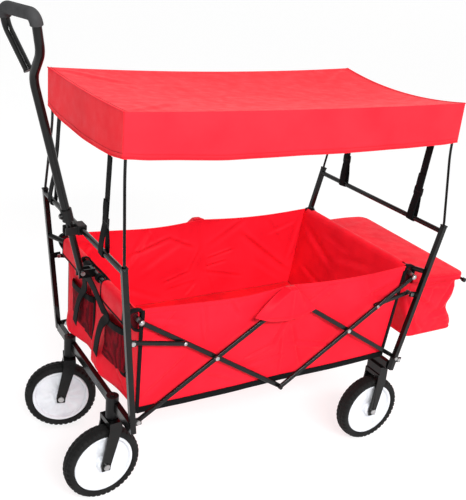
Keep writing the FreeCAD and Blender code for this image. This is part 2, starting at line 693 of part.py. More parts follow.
grip_route = [between(LOOP[2], LOOP[3], 0.74), LOOP[3], LOOP[4], between(LOOP[4], LOOP[5], 0.52)]
node(cut(pipe(grip_route, LOOP_RADII[2:4], "d.grip_r", None, twisted),
         pipe(grip_route, LOOP_RADII[2:4], "d.outer_r+0.02", None, twisted)), "handle_grip")

last, before = LOOP[-1], LOOP[-2]
run = math.dist(last, before)
out = V((last[0] - before[0]) / run, 0, (last[1] - before[1]) / run)
plug = cylinder("d.outer_r+0.8", "4", (0, 0, 0))
plug.Placement = twisted.multiply(FreeCAD.Placement(V(last[0], 0, last[1]),
                                                    FreeCAD.Rotation(Z_AXIS, out)))
node(plug, "handle_end_plug")

collar_base = D["upper_foot"] + 1
ring = tube("d.collar_r", "(d.collar_r-d.outer_r)", "d.collar_tall", (0, 0, 0))
ring.Placement = shaft.multiply(place(0, 0, collar_base))
boss = cylinder("d.button_r+2.5", "d.collar_r-d.outer_r+2", (0, 0, 0), X_AXIS)
boss.Placement = shaft.multiply(FreeCAD.Placement(V(D["outer_r"] + 1, 0, collar_base + 15),
                                                  FreeCAD.Rotation(Z_AXIS, X_AXIS)))
hole = cylinder("d.button_r+0.1", "30", (0, 0, 0), X_AXIS)
hole.Placement = shaft.multiply(FreeCAD.Placement(V(D["outer_r"] + 0.01, 0, collar_base + 15),
                                                  FreeCAD.Rotation(Z_AXIS, X_AXIS)))
node(cut(fuse([ring, boss]), hole), "lock_collar")
button = cylinder("d.button_r", "d.button_out+1", (0, 0, 0), X_AXIS)
button.Placement = shaft.multiply(FreeCAD.Placement(V(D["outer_r"] + 3.2, 0, collar_base + 15),
                                                    FreeCAD.Rotation(Z_AXIS, X_AXIS)))
node(button, "lock_button")

bar_at = front_x(D["front_bar_z"])
saddle = box("22", "36", "24", (bar_at - 11, -18, D["front_bar_z"] - 12))
fingers = [box("34", "4", "20", (bar_at + 6, inner_from(side, D["inner_r"] + 4.4, 4),
                                 D["front_bar_z"] - 12)) for _, side in SIDES]
bar_core = cylinder("d.bar_r", "60", (bar_at, -30, D["front_bar_z"]), Y_AXIS)
shaft_room = cylinder("d.inner_r+0.4", "120", (0, 0, 0))
shaft_room.Placement = shaft.multiply(place(0, 0, 70))
node(cut(fuse([saddle, *fingers]), bar_core, shaft_room), "handle_clip")


# ---------------------------------------------------------------- canopy
roof = box("d.roof_front-d.roof_rear", "2*d.roof_y", "d.skirt",
           (D["roof_rear"], -D["roof_y"], D["roof_z"] - D["skirt"]))
under = box("d.roof_front-d.roof_rear-2*d.cloth", "2*d.roof_y-2*d.cloth", "d.skirt-d.cloth",
            (D["roof_rear"] + D["cloth"], -D["roof_y"] + D["cloth"], D["roof_z"] - D["skirt"]))
node(cut(roof, under), "canopy")


def canopy_rod(top_x, corner_x, side, lean, bow):
    """A springy rod from an upright's end cap up into the canopy's corner."""
    foot_z = D["top_height"] - D["cap_t"]
    foot = V(rake(top_x, lean, foot_z), side * D["half_track"], foot_z)
    corner = V(corner_x, side * (D["roof_y"] - 10), D["roof_z"] - D["cloth"] - 3)
    chord = corner - foot
    flat = V(chord.x, chord.y, 0)
    across = V(flat.x, flat.y, 0).normalize()
    reach, tall = flat.Length, chord.z
    turn = math.degrees(math.atan2(across.y, across.x))
    frame = FreeCAD.Placement(foot, FreeCAD.Rotation(Z_AXIS, turn))
    points = [(0, 0), (0.02 * reach, 14), (reach * (1 - bow), tall * 0.60), (reach, tall)]
    return pipe(points, (60, 300), "d.rod_r-0.05", None, frame)


for name, top_x, corner_x, lean in (
        ("front", D["front_top_x"], D["roof_front"] - 10, D["front_lean"]),
        ("rear", D["rear_top_x"], D["roof_rear"] + 10, D["rear_lean"])):
    node(group([canopy_rod(top_x, corner_x, side, lean, 0.04) for _, side in SIDES]),
         f"{name}_canopy_rods")


def strap(low, high):
    """A webbing strap standing between a crossbar and the canopy's hem."""
    run = V(high[0] - low[0], high[1] - low[1], high[2] - low[2])
    obj = box("d.strap_t", "d.strap_w", f"{run.Length}", (0, 0, 0))
    turn = FreeCAD.Rotation(Z_AXIS, run)
    shift = turn.multVec(V(-D["strap_t"] / 2, -D["strap_w"] / 2, 0))
    obj.Placement = FreeCAD.Placement(V(*low) + shift, turn)
    return obj


hem_z = D["roof_z"] - D["skirt"] - 4
for name, x, z, corner_x, feet, heads in (
        ("front", bar_at, D["front_bar_z"], D["roof_front"] - 2, (157, -214), (178, -164)),
        ("rear", rear_x(D["rear_bar_z"]), D["rear_bar_z"], D["roof_rear"] + 2, (156, -162),
         (164, -185))):
    node(group([strap((x, foot, z + D["bar_r"] + 3), (corner_x, head, hem_z))
                for foot, head in zip(feet, heads)]), f"{name}_canopy_straps")


# ---------------------------------------------------------------- tub
def end_wall(label, low_x, high_x, rail_x, sleeve, notch):
    """A leaning fabric wall whose hem wraps over the rim rail and lets its ends out."""
    outward = 1 if rail_x > 0 else -1
    body = new_body(place())
    side_view = sketch_on(body, "XZ_Plane")
    t = D["cloth"] * outward
    over = rail_x + outward * (D["rail_r"] + 1)
    add_polygon(side_view, [
        (f"{low_x - t}", "d.floor_z"), (f"{low_x}", "d.floor_z"), (f"{high_x}", "d.rim_z-1"),
        (f"{over}", "d.rim_z-1"), (f"{over}", "d.rim_z-d.hem_drop"),
        (f"{over + t / 2}", "d.rim_z-d.hem_drop"), (f"{over + t / 2}", "d.rim_z+2"),
        (f"{high_x - t}", "d.rim_z+2")])
    pad(body, side_view, "2*d.tub_y-2*d.cloth-1", midplane=True)
    if notch:
        gap = sketch_on(body, "YZ_Plane", rail_x - 12)
        add_polygon(gap, [("-d.cutout", "d.rim_z-26"), ("d.cutout", "d.rim_z-26"),
                          ("d.cutout", "d.rim_z+10"), ("-d.cutout", "d.rim_z+10")])
        pocket(body, gap, "60", flip=True)
    return node(cut(body, sleeve), label)


end_wall("tub_front_wall", D["tub_front_low"], D["tub_front_high"], D["front_rail_x"],
         front_sleeve, True)
end_wall("tub_rear_wall", D["tub_rear_low"], D["tub_rear_high"], D["rear_rail_x"],
         rear_sleeve, False)

side_walls = []
for _, side in SIDES:
    wall = new_body(place(0, side * D["tub_y"], 0))
    outline = sketch_on(wall, "XZ_Plane")
    add_polygon(outline, [("d.tub_rear_low", "d.floor_z"), ("d.tub_front_low", "d.floor_z"),
                          ("d.tub_front_high", "d.rim_z"), ("d.tub_rear_high", "d.rim_z")])
    pad(wall, outline, "d.cloth", flip=side < 0)
    side_walls.append(wall)
node(group(side_walls), "tub_sides")

floor_gap = 0.5
node(box("d.tub_front_low-d.tub_rear_low-2*d.cloth-1", "2*d.tub_y-2*d.cloth-1", "d.cloth",
         (D["tub_rear_low"] + D["cloth"] + floor_gap, -D["tub_y"] + D["cloth"] + floor_gap,
          D["floor_z"])), "tub_floor")
node(box("d.tub_front_low-d.tub_rear_low-2*d.cloth-12", "2*d.tub_y-2*d.cloth-12", "d.mat_t",
         (D["tub_rear_low"] + D["cloth"] + 6, -D["tub_y"] + D["cloth"] + 6,
          D["floor_z"] + D["cloth"])), "floor_mat")

pockets = []
for wide, tall, low, base in ((128, 110, 60, 372), (160, 110, -188, 352)):
    at = (D["tub_front_high"] + 1, low, base)
    pouch = box("d.pocket_t", f"{wide}", f"{tall}", at)
    inside = box("d.pocket_t-4", f"{wide - 4}", f"{tall}", (at[0] + 2, low + 2, base + 2))
    pockets.append(cut(pouch, inside))
node(group(pockets), "front_pockets")


# ---------------------------------------------------------------- rear bag
outer = box("d.bag_front-d.bag_rear", "2*d.bag_y", "d.bag_high-d.bag_low",
            (D["bag_rear"], -D["bag_y"], D["bag_low"]))
inner = box("d.bag_front-d.bag_rear-2*d.cloth", "2*d.bag_y-2*d.cloth", "d.bag_high-d.bag_low",
            (D["bag_rear"] + D["cloth"], -D["bag_y"] + D["cloth"], D["bag_low"] + D["cloth"]))
strip = box("d.bag_front-d.lid_x-2", "2*d.bag_y", "d.lid_t-6",
            (D["lid_x"] + 2, -D["bag_y"], D["bag_high"]))
node(fuse([cut(outer, inner), strip]), "rear_bag")
lid_slope = D["lid_drop"]
lid_span = D["lid_x"] - D["bag_rear"]
lid_high = D["bag_high"] + 1 + lid_span * math.tan(math.radians(lid_slope))
lid = box("d.lid_x-d.bag_rear+8", "2*d.bag_y+6", "d.lid_t", (0, 0, 0))
lid.Placement = place(D["lid_x"], 0, lid_high, Y_AXIS, -lid_slope).multiply(
    place(-lid_span - 8, -D["bag_y"] - 3, 0))
node(lid, "bag_lid")
rod_x, rod_end = D["bag_rear"] - D["bag_rod_r"] - 1, D["bag_y"] + 4
bag_rod = [cylinder("d.bag_rod_r", f"{2 * rod_end}", (rod_x, -rod_end, D["bag_rod_z"]), Y_AXIS)]
for _, side in SIDES:
    bag_rod.append(cylinder("d.bag_rod_r+2.5", "8", (rod_x, side * rod_end, D["bag_rod_z"]),
                            Y_AXIS * side))
node(fuse(bag_rod), "bag_rod")

# ---------------------------------------------------------------- check and write
doc.recompute()
for obj in doc.Objects:
    if {"Invalid", "Error"} & set(obj.State):
        raise RuntimeError(f"{obj.Name} ({obj.Label}) did not rebuild")
os.makedirs("parts", exist_ok=True)
for obj in subparts:
    if obj.Shape.isNull() or not obj.Shape.isValid() or not obj.Shape.Solids:
        raise RuntimeError(f"{obj.Label} has no sound shape")
    obj.Shape.exportStep(os.path.join("parts", f"{obj.Label}.step"))
print(len(subparts), "sub-parts written")
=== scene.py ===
"""The folding pull wagon: its cloth, its materials, a pale studio and the camera.

Everything is in metres in the frame's own axes: +X forward, +Y left, +Z up.
"""
import json
import math

import bmesh
import bpy
from mathutils import Matrix, Vector, noise


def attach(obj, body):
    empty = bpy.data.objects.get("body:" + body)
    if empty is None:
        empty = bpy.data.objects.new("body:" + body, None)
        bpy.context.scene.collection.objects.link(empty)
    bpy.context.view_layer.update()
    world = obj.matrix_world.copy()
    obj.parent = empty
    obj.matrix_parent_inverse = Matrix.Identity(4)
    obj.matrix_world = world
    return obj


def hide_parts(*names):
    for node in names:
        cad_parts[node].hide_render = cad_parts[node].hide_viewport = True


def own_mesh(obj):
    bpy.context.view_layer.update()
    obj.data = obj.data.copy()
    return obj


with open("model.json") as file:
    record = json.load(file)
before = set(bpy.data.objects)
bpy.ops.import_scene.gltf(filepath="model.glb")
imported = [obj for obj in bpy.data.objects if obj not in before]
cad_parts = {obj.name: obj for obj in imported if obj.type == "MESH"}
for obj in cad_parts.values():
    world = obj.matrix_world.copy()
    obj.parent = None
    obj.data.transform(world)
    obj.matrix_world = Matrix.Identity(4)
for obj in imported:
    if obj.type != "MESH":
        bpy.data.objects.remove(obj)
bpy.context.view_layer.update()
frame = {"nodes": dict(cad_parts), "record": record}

MM = 0.001
SIDES = (("left", 1), ("right", -1))


# ------------------------------------------------------------------ camera, light and floor
def make_camera():
    """A hand-held camera in front of the wagon's left side, rolled a little."""
    yaw, pitch, roll = 0.557, 0.384, 0.099
    place = (1.0638, 1.6575, 1.3487)
    sensor, lens = 36.0, 55.152
    ahead = Vector((-math.sin(yaw) * math.cos(pitch), -math.cos(yaw) * math.cos(pitch),
                    -math.sin(pitch)))
    right = ahead.cross(Vector((0, 0, 1))).normalized()
    up = right.cross(ahead)
    right_rolled = math.cos(roll) * right + math.sin(roll) * up
    up_rolled = -math.sin(roll) * right + math.cos(roll) * up
    turn = Matrix((right_rolled, up_rolled, -ahead)).transposed()
    data = bpy.data.cameras.new("camera")
    data.sensor_width = sensor
    data.lens = lens
    data.clip_end = 50
    camera = bpy.data.objects.new("camera", data)
    camera.matrix_world = Matrix.Translation(place) @ turn.to_4x4()
    bpy.context.collection.objects.link(camera)
    bpy.context.scene.camera = camera


def area_light(name, place, target, size, watts):
    """A soft box: size is its width and height."""
    data = bpy.data.lights.new(name, "AREA")
    data.shape, data.energy = "RECTANGLE", watts
    data.size, data.size_y = size
    lamp = bpy.data.objects.new(name, data)
    lamp.location = place
    lamp.rotation_euler = (Vector(target) - Vector(place)).to_track_quat("-Z", "Y").to_euler()
    bpy.context.collection.objects.link(lamp)


def make_studio():
    world = bpy.data.worlds.new("studio")
    bpy.context.scene.world = world
    world.use_nodes = True
    tree = world.node_tree
    sky = tree.nodes["Background"]
    sky.inputs["Color"].default_value = (1, 1, 1, 1)
    way = tree.nodes.new("ShaderNodeTexCoord")       # white behind the wagon, dim in front
    towards = tree.nodes.new("ShaderNodeVectorMath")
    towards.operation = "DOT_PRODUCT"
    towards.inputs[1].default_value = (0.72, 0.68, 0.1)
    dim = tree.nodes.new("ShaderNodeMapRange")
    dim.inputs["From Min"].default_value, dim.inputs["From Max"].default_value = -0.2, 0.6
    dim.inputs["To Min"].default_value, dim.inputs["To Max"].default_value = 1.0, 0.12
    tree.links.new(way.outputs["Generated"], towards.inputs[0])
    tree.links.new(towards.outputs["Value"], dim.inputs["Value"])
    seen = tree.nodes.new("ShaderNodeLightPath")     # the backdrop itself is white all round
    strength = tree.nodes.new("ShaderNodeMath")
    strength.operation = "MAXIMUM"
    tree.links.new(dim.outputs["Result"], strength.inputs[0])
    tree.links.new(seen.outputs["Is Camera Ray"], strength.inputs[1])
    tree.links.new(strength.outputs[0], sky.inputs["Strength"])
    area_light("key", (0.5, 2.95, 2.5), (0, 0, 0.4), (2.2, 0.6), 148)
    area_light("top", (-0.3, 0.3, 3.4), (0, 0, 0.8), (2.4, 2.4), 8)
    area_light("front", (3.2, 0.9, 1.6), (0.3, 0, 0.5), (1.4, 1.4), 9)
    bpy.context.scene.view_settings.view_transform = "Standard"
    reach = 60.0
    mesh = bpy.data.meshes.new("floor")
    mesh.from_pydata([(-reach, -reach, 0), (reach, -reach, 0), (reach, reach, 0),
                      (-reach, reach, 0)], [], [(0, 1, 2, 3)])
    floor = bpy.data.objects.new("floor", mesh)
    bpy.context.collection.objects.link(floor)
    paper = plain("studio_floor", (0.3, 0.3, 0.3), 0.9)
    own = paper.node_tree.nodes["Principled BSDF"].inputs
    own["Emission Color"].default_value, own["Emission Strength"].default_value = (1, 1, 1, 1), 0.75
    floor.data.materials.append(paper)


# ------------------------------------------------------------------ material helpers
def plain(name, colour, roughness, metallic=0.0):
    material = bpy.data.materials.new(name)
    material.use_nodes = True
    shader = material.node_tree.nodes["Principled BSDF"]
    shader.inputs["Base Color"].default_value = (*colour, 1)
    shader.inputs["Roughness"].default_value = roughness
    shader.inputs["Metallic"].default_value = metallic
    return material


class Graph:
    """A small wrapper that adds nodes to a material's tree."""

    def __init__(self, material):
        self.tree = material.node_tree
        self.shader = self.tree.nodes["Principled BSDF"]
        self.coords = self.tree.nodes.new("ShaderNodeTexCoord").outputs["Object"]

    def add(self, kind, **settings):
        made = self.tree.nodes.new(kind)
        for key, value in settings.items():
            setattr(made, key, value)
        return made

    def link(self, a, b):
        self.tree.links.new(a, b)

    def noise(self, scale, detail, stretch=(1, 1, 1)):
        place = self.add("ShaderNodeMapping")
        place.inputs["Scale"].default_value = stretch
        self.link(self.coords, place.inputs["Vector"])
        texture = self.add("ShaderNodeTexNoise")
        texture.inputs["Scale"].default_value = scale
        texture.inputs["Detail"].default_value = detail
        self.link(place.outputs["Vector"], texture.inputs["Vector"])
        return texture.outputs["Fac"]

    def wave(self, scale, direction):
        texture = self.add("ShaderNodeTexWave", wave_type="BANDS", bands_direction=direction,
                           wave_profile="SIN")
        texture.inputs["Scale"].default_value = scale
        self.link(self.coords, texture.inputs["Vector"])
        return texture.outputs["Fac"]

    def math(self, operation, a, b):
        made = self.add("ShaderNodeMath", operation=operation)
        self.link(a, made.inputs[0])
        self.link(b, made.inputs[1])
        return made.outputs[0]

    def ramp(self, factor, low, high, start=0.0, end=1.0):
        made = self.add("ShaderNodeValToRGB")
        made.color_ramp.elements[0].position = start
        made.color_ramp.elements[1].position = end
        made.color_ramp.elements[0].color = (*low, 1)
        made.color_ramp.elements[1].color = (*high, 1)
        self.link(factor, made.inputs["Fac"])
        return made.outputs["Color"]

    def grey(self, factor, low, high, start, end):
        return self.ramp(factor, (low,) * 3, (high,) * 3, start, end)

    def bump(self, height, distance, strength, below=None):
        made = self.add("ShaderNodeBump")
        made.inputs["Strength"].default_value = strength
        made.inputs["Distance"].default_value = distance
        self.link(height, made.inputs["Height"])
        if below is not None:
            self.link(below, made.inputs["Normal"])
        return made.outputs["Normal"]

    def set(self, **sockets):
        for name, value in sockets.items():
            self.link(value, self.shader.inputs[name.replace("_", " ")])


def wave_scale(pitch):
    """The scale that gives a wave texture bands of that pitch in metres."""
    return 0.5 / pitch / math.pi


def weave(graph, pitch):
    """A plain weave's height: two sets of threads, a pitch apart, crossing in three planes."""
    threads = [graph.wave(wave_scale(pitch), axis) for axis in "XYZ"]
    return graph.math("ADD", graph.math("MULTIPLY", threads[0], threads[2]),
                      graph.math("MULTIPLY", threads[1], threads[2]))


def coated_cloth(name, colour, dark):
    """Polyester with a thin coating: a fine weave, soft blotches and creased highlights."""
    material = plain(name, colour, 0.55)
    g = Graph(material)
    blotch = g.noise(9.0, 4.0)
    g.set(Base_Color=g.ramp(blotch, dark, colour, 0.25, 0.62))
    g.set(Roughness=g.grey(g.noise(35.0, 2.0), 0.46, 0.62, 0.3, 0.7))
    creases = g.bump(g.noise(26.0, 5.0, (1, 1, 0.6)), 0.0035, 0.35)
    g.set(Normal=g.bump(weave(g, 0.0009), 0.0002, 0.35, creases))
    g.shader.inputs["Sheen Weight"].default_value = 0.02
    g.shader.inputs["Sheen Roughness"].default_value = 0.4
    g.shader.inputs["Specular IOR Level"].default_value = 0.07
    return material


def webbing(name, colour, light):
    """Woven strap: fine ribs both ways, paler where they cross."""
    material = plain(name, colour, 0.7)
    g = Graph(material)
    pattern = g.math("MULTIPLY", g.wave(wave_scale(0.0016), "Z"), g.wave(wave_scale(0.0011), "Y"))
    g.set(Base_Color=g.ramp(pattern, colour, light), Normal=g.bump(pattern, 0.0003, 0.6))
    g.shader.inputs["Specular IOR Level"].default_value = 0.08
    return material


def powder_coat(name):
    """Glossy black powder coat with a faint orange peel and a slightly uneven shine."""
    material = plain(name, (0.005, 0.005, 0.0055), 0.2)
    g = Graph(material)
    g.set(Roughness=g.grey(g.noise(14.0, 5.0), 0.13, 0.22, 0.3, 0.7))
    g.set(Base_Color=g.grey(g.noise(60.0, 3.0), 0.003, 0.006, 0.35, 0.8))
    g.set(Normal=g.bump(g.noise(900.0, 1.0), 0.00012, 0.2))
    g.shader.inputs["Specular IOR Level"].default_value = 0.24
    return material


def plated(name):
    material = plain(name, (0.5, 0.5, 0.51), 0.32, 1.0)
    g = Graph(material)
    g.set(Roughness=g.grey(g.noise(160.0, 4.0), 0.24, 0.45, 0.3, 0.7))
    g.set(Base_Color=g.grey(g.noise(40.0, 3.0), 0.34, 0.56, 0.3, 0.7))
    g.set(Normal=g.bump(g.noise(700.0, 2.0), 0.00008, 0.4))
    return material


def moulded(name, colour, light, roughness, grain=700.0, depth=0.0001, shine=0.5):
    material = plain(name, colour, roughness)
    material.node_tree.nodes["Principled BSDF"].inputs["Specular IOR Level"].default_value = shine
    g = Graph(material)
    g.set(Base_Color=g.ramp(g.noise(25.0, 4.0), colour, light, 0.35, 0.75))
    g.set(Roughness=g.grey(g.noise(18.0, 4.0), roughness - 0.06, roughness + 0.1, 0.3, 0.7))
    g.set(Normal=g.bump(g.noise(grain, 2.0), depth, 0.5))
    return material


def mesh_cloth(name):
    """Black knit mesh over the red wall: red dots in a ground of very dark red."""
    material = plain(name, (0.012, 0.012, 0.012), 0.75)
    g = Graph(material)
    g.shader.inputs["Specular IOR Level"].default_value = 0.04
    cells = g.add("ShaderNodeTexVoronoi", feature="F1")
    cells.inputs["Scale"].default_value = 420.0
    cells.inputs["Randomness"].default_value = 0.15
    g.link(g.coords, cells.inputs["Vector"])
    g.set(Base_Color=g.ramp(cells.outputs["Distance"], (0.46, 0.005, 0.018), (0.09, 0.003, 0.007),
                            0.25, 0.42))
    g.set(Normal=g.bump(cells.outputs["Distance"], 0.0005, 0.8))
    return material


MATERIALS = {
    "black_frame": powder_coat("powder_coat"),
    "plated_steel": plated("zinc_plate"),
    "tyre": moulded("tyre_rubber", (0.006, 0.006, 0.006), (0.012, 0.012, 0.012), 0.6, 500, 2e-4, 0.15),
    "rim_plastic": moulded("rim_plastic", (0.68, 0.7, 0.74), (0.8, 0.82, 0.85), 0.34),
    "black_plastic": moulded("black_plastic", (0.005, 0.005, 0.0055), (0.01, 0.01, 0.01), 0.4,
                             shine=0.2),
    "button_plastic": moulded("button_plastic", (0.03, 0.03, 0.03), (0.05, 0.05, 0.05), 0.35),
    "red_fabric": coated_cloth("red_cloth", (0.86, 0.012, 0.029), (0.70, 0.007, 0.021)),
    "black_mesh": mesh_cloth("mesh_cloth"),
    "black_webbing": webbing("webbing", (0.003, 0.003, 0.0033), (0.008, 0.008, 0.009)),
    "floor_board": coated_cloth("mat_cloth", (0.80, 0.012, 0.024), (0.62, 0.006, 0.018)),
    "foam_grip": moulded("foam", (0.03, 0.03, 0.031), (0.055, 0.055, 0.057), 0.85, 1400, 3e-4, 0.25),
    # a paler copy of the red cloth for the canopy: its extra paleness is painted light, for the
    # brightly lit top
    "roof": coated_cloth("roof_cloth_painted_light", (0.93, 0.022, 0.036), (0.86, 0.015, 0.028)),
    "thread": moulded("thread", (0.30, 0.004, 0.010), (0.42, 0.008, 0.016), 0.7, shine=0.2),
    # a very dark red: painted shade for the shadowed insides of the tub's corner openings
    "painted_shade": moulded("painted_shade", (0.05, 0.002, 0.004), (0.09, 0.004, 0.008), 0.8, shine=0.1),
}


ROUNDED = {"front_uprights": 2.4, "rear_uprights": 2.4, "front_end_caps": 1.2, "rear_end_caps": 1.2,
           "front_lower_bar": 2.5, "rear_lower_bar": 2.5, "handle_clevis": 1.0, "handle_clip": 1.5,
           "front_lift_bars": 1.6, "rear_lift_bars": 1.6, "front_drop_bars": 1.6,
           "rear_drop_bars": 1.6, "front_braces": 1.4, "rear_braces": 1.4,
           "caster_fork_left": 2.2, "caster_fork_right": 2.2, "rear_forks": 2.2}


def dress_frame():
    """Gives every CAD node the material of its slot, and the folded steel its soft edges."""
    for entry in frame["record"]["subparts"]:
        obj = frame["nodes"][entry["node"]]
        obj.data.materials.clear()
        obj.data.materials.append(MATERIALS[entry["material_slot"]])
        if entry["node"] in ROUNDED:
            weld = obj.modifiers.new("weld", "WELD")
            weld.merge_threshold = 0.01 * MM
            edges = obj.modifiers.new("edges", "BEVEL")
            edges.harden_normals = True
            edges.width, edges.segments = ROUNDED[entry["node"]] * MM, 3
            edges.limit_method, edges.angle_limit = "ANGLE", math.radians(50)
            edges.use_clamp_overlap = True


# ------------------------------------------------------------------ mesh helpers (in mm)
def ease(t):
    t = min(1.0, max(0.0, t))
    return t * t * (3 - 2 * t)


def mix(a, b, t):
    return a + (b - a) * t


def hump(t, centre, width):
    return math.exp(-((t - centre) / width) ** 2)


FOLD_TIGHTNESS = 0.75              # how much narrower a fold is drawn than it is listed


def crease(x, z, fold):
    """The height of one soft fold: a ridge with a shallow valley beside it."""
    (ax, az), (bx, bz), width, height = fold
    width *= FOLD_TIGHTNESS
    dx, dz = bx - ax, bz - az
    span = math.hypot(dx, dz)
    along = ((x - ax) * dx + (z - az) * dz) / span ** 2
    off = ((x - ax) * dz - (z - az) * dx) / span / width
    if abs(off) > 4 or not -0.3 < along < 1.3:
        return 0.0
    fade = ease((along + 0.2) / 0.4) * ease((1.2 - along) / 0.4)
    return height * fade * (math.exp(-off * off) - 0.55 * math.exp(-((off - 1.5) / 0.9) ** 2))


def ripple(point, size, seed):
    """Smooth noise from -1 to 1 at a place, with features of about that size."""
    return noise.noise(Vector(point) / size + Vector((seed * 7.3, seed * 3.1, seed * 1.7)))


def along_route(points, t):
    """A point on the smooth line through some points, t from 0 to 1."""
    n = len(points) - 1
    at = min(max(t, 0.0), 1.0) * n
    i = min(int(at), n - 1)
    t = at - i
    p1, p2 = points[i], points[i + 1]
    p0 = points[i - 1] if i else tuple(2 * a - b for a, b in zip(p1, p2))
    p3 = points[i + 2] if i + 2 <= n else tuple(2 * b - a for a, b in zip(p1, p2))
    return tuple(0.5 * (2 * b + (c - a) * t + (2 * a - 5 * b + 4 * c - d) * t * t
                        + (3 * b - a - 3 * c + d) * t ** 3)
                 for a, b, c, d in zip(p0, p1, p2, p3))


def piece(name, verts, faces, body, slot, material=None, smooth=True):
    """A mesh from points in mm that rides on a body and takes a slot's finish."""
    mesh = bpy.data.meshes.new(name)
    mesh.from_pydata([tuple(c * MM for c in v) for v in verts], [], faces)
    mesh.validate()
    mesh.update()
    for polygon in mesh.polygons:
        polygon.use_smooth = smooth
    obj = bpy.data.objects.new(name, mesh)
    bpy.context.collection.objects.link(obj)
    mesh.materials.append(material or MATERIALS[slot])
    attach(obj, body)
    return obj


def applied(obj):
    """Replaces an object's mesh by what its modifiers make of it."""
    graph = bpy.context.evaluated_depsgraph_get()
    made = bpy.data.meshes.new_from_object(obj.evaluated_get(graph))
    made.name = obj.data.name + "_made"
    obj.modifiers.clear()
    obj.data = made
    return obj


def thicken(obj, thickness):
    solid = obj.modifiers.new("thickness", "SOLIDIFY")
    solid.thickness, solid.offset = thickness * MM, 0.0
    return applied(obj)


def cloth(name, at, nu, nv, body, slot, thickness, skip=None):
    """A sheet from a function of u and v, both 0 to 1, made as thick as its cloth."""
    verts = [at(i / nu, j / nv) for j in range(nv + 1) for i in range(nu + 1)]
    faces = []
    for j in range(nv):
        for i in range(nu):
            if skip and skip((i + 0.5) / nu, (j + 0.5) / nv):
                continue
            a = j * (nu + 1) + i
            faces.append((a, a + 1, a + nu + 2, a + nu + 1))
    used = sorted({v for f in faces for v in f})
    new = {old: i for i, old in enumerate(used)}
    obj = piece(name, [verts[v] for v in used], [tuple(new[v] for v in f) for f in faces],
                body, slot)
    return thicken(obj, thickness)


STRAP_EDGE = ((-0.5, -0.5), (-0.42, -0.62), (0.42, -0.62), (0.5, -0.5),
              (0.5, 0.5), (0.42, 0.62), (-0.42, 0.62), (-0.5, 0.5))


def ribbon(name, points, across, width, thickness, steps=0, body="front_frame",
           slot="black_webbing", closed=False):
    """A flat strap along some points. across is its width's direction, one or one a point."""
    if steps:
        if isinstance(across, list):
            across = [along_route(across, i / steps) for i in range(steps + 1)]
        points = [along_route(points, i / steps) for i in range(steps + 1)]
    n = len(points)
    verts, faces = [], []
    for i, point in enumerate(points):
        a = points[(i - 1) % n if closed else max(i - 1, 0)]
        b = points[(i + 1) % n if closed else min(i + 1, n - 1)]
        ahead = (Vector(b) - Vector(a)).normalized()
        side = Vector(across[i] if isinstance(across, list) else across)
        side = (side - ahead * side.dot(ahead)).normalized()
        up = ahead.cross(side)
        for s, t in STRAP_EDGE:
            verts.append(Vector(point) + side * (s * width) + up * (t * thickness))
    ring = len(STRAP_EDGE)
    for i in range(n if closed else n - 1):
        a, b = i * ring, ((i + 1) % n) * ring
        for k in range(ring):
            m = (k + 1) % ring
            faces.append((a + k, a + m, b + m, b + k))
    if not closed:
        faces += [tuple(range(ring)[::-1]), tuple((n - 1) * ring + k for k in range(ring))]
    return piece(name, verts, faces, body, slot)


def cord_line(name, points, radius, body, steps, sides=10, closed=False, material=None):
    """A round piping along a smooth line."""
    if closed:
        points = list(points) + [points[0]]
    line = [Vector(along_route(points, i / steps)) for i in range(steps + (0 if closed else 1))]
    n = len(line)
    verts, faces = [], []
    up = Vector((0, 0, 1))
    for i, p in enumerate(line):
        ahead = (line[(i + 1) % n] - line[i - 1]) if closed else \
            line[min(i + 1, n - 1)] - line[max(i - 1, 0)]
        ahead.normalize()
        side = ahead.cross(up)
        if side.length < 0.2:
            side = ahead.cross(Vector((0, 1, 0)))
        side.normalize()
        top = side.cross(ahead)
        for k in range(sides):
            turn = 2 * math.pi * k / sides
            verts.append(p + (side * math.cos(turn) + top * math.sin(turn)) * radius)
    for i in range(n if closed else n - 1):
        a, b = i * sides, ((i + 1) % n) * sides
        for k in range(sides):
            m = (k + 1) % sides
            faces.append((a + k, b + k, b + m, a + m))
    if not closed:
        faces += [tuple(range(sides)), tuple((n - 1) * sides + k for k in range(sides))[::-1]]
    return piece(name, verts, faces, body, "red_fabric", material)


STITCH_PITCH, STITCH_LENGTH, STITCH_RADIUS = 6.0, 4.0, 0.55


def stitches(name, lines, body):
    """Rows of sewn stitches. A line is a list of (point, outward) in mm."""
    verts, faces = [], []
    for line in lines:
        left = 0.0
        for (p, out), (q, _) in zip(line, line[1:]):
            p, q = Vector(p), Vector(q)
            span = (q - p).length
            if span < 1e-6:
                continue
            ahead, out = (q - p) / span, Vector(out).normalized()
            side = ahead.cross(out)
            while left < span:
                middle = p + ahead * left
                base = len(verts)
                for e, s in ((-0.5, 0.5), (-0.3, 1), (0.3, 1), (0.5, 0.5)):
                    at = middle + ahead * (e * STITCH_LENGTH)
                    verts += [at + side * STITCH_RADIUS * s, at + out * STITCH_RADIUS * s * 1.2,
                              at - side * STITCH_RADIUS * s, at - out * STITCH_RADIUS * s]
                for k in range(3):
                    a, b = base + 4 * k, base + 4 * k + 4
                    faces += [(a + m, a + (m + 1) % 4, b + (m + 1) % 4, b + m) for m in range(4)]
                faces += [(base + 3, base + 2, base + 1, base),
                          (base + 12, base + 13, base + 14, base + 15)]
                left += STITCH_PITCH
            left -= span
    return piece(name, verts, faces, body, "red_fabric", MATERIALS["thread"])


def folds_with_tub(obj):
    """Gives a soft piece between the two frames its own copy of its mesh."""
    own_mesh(obj)


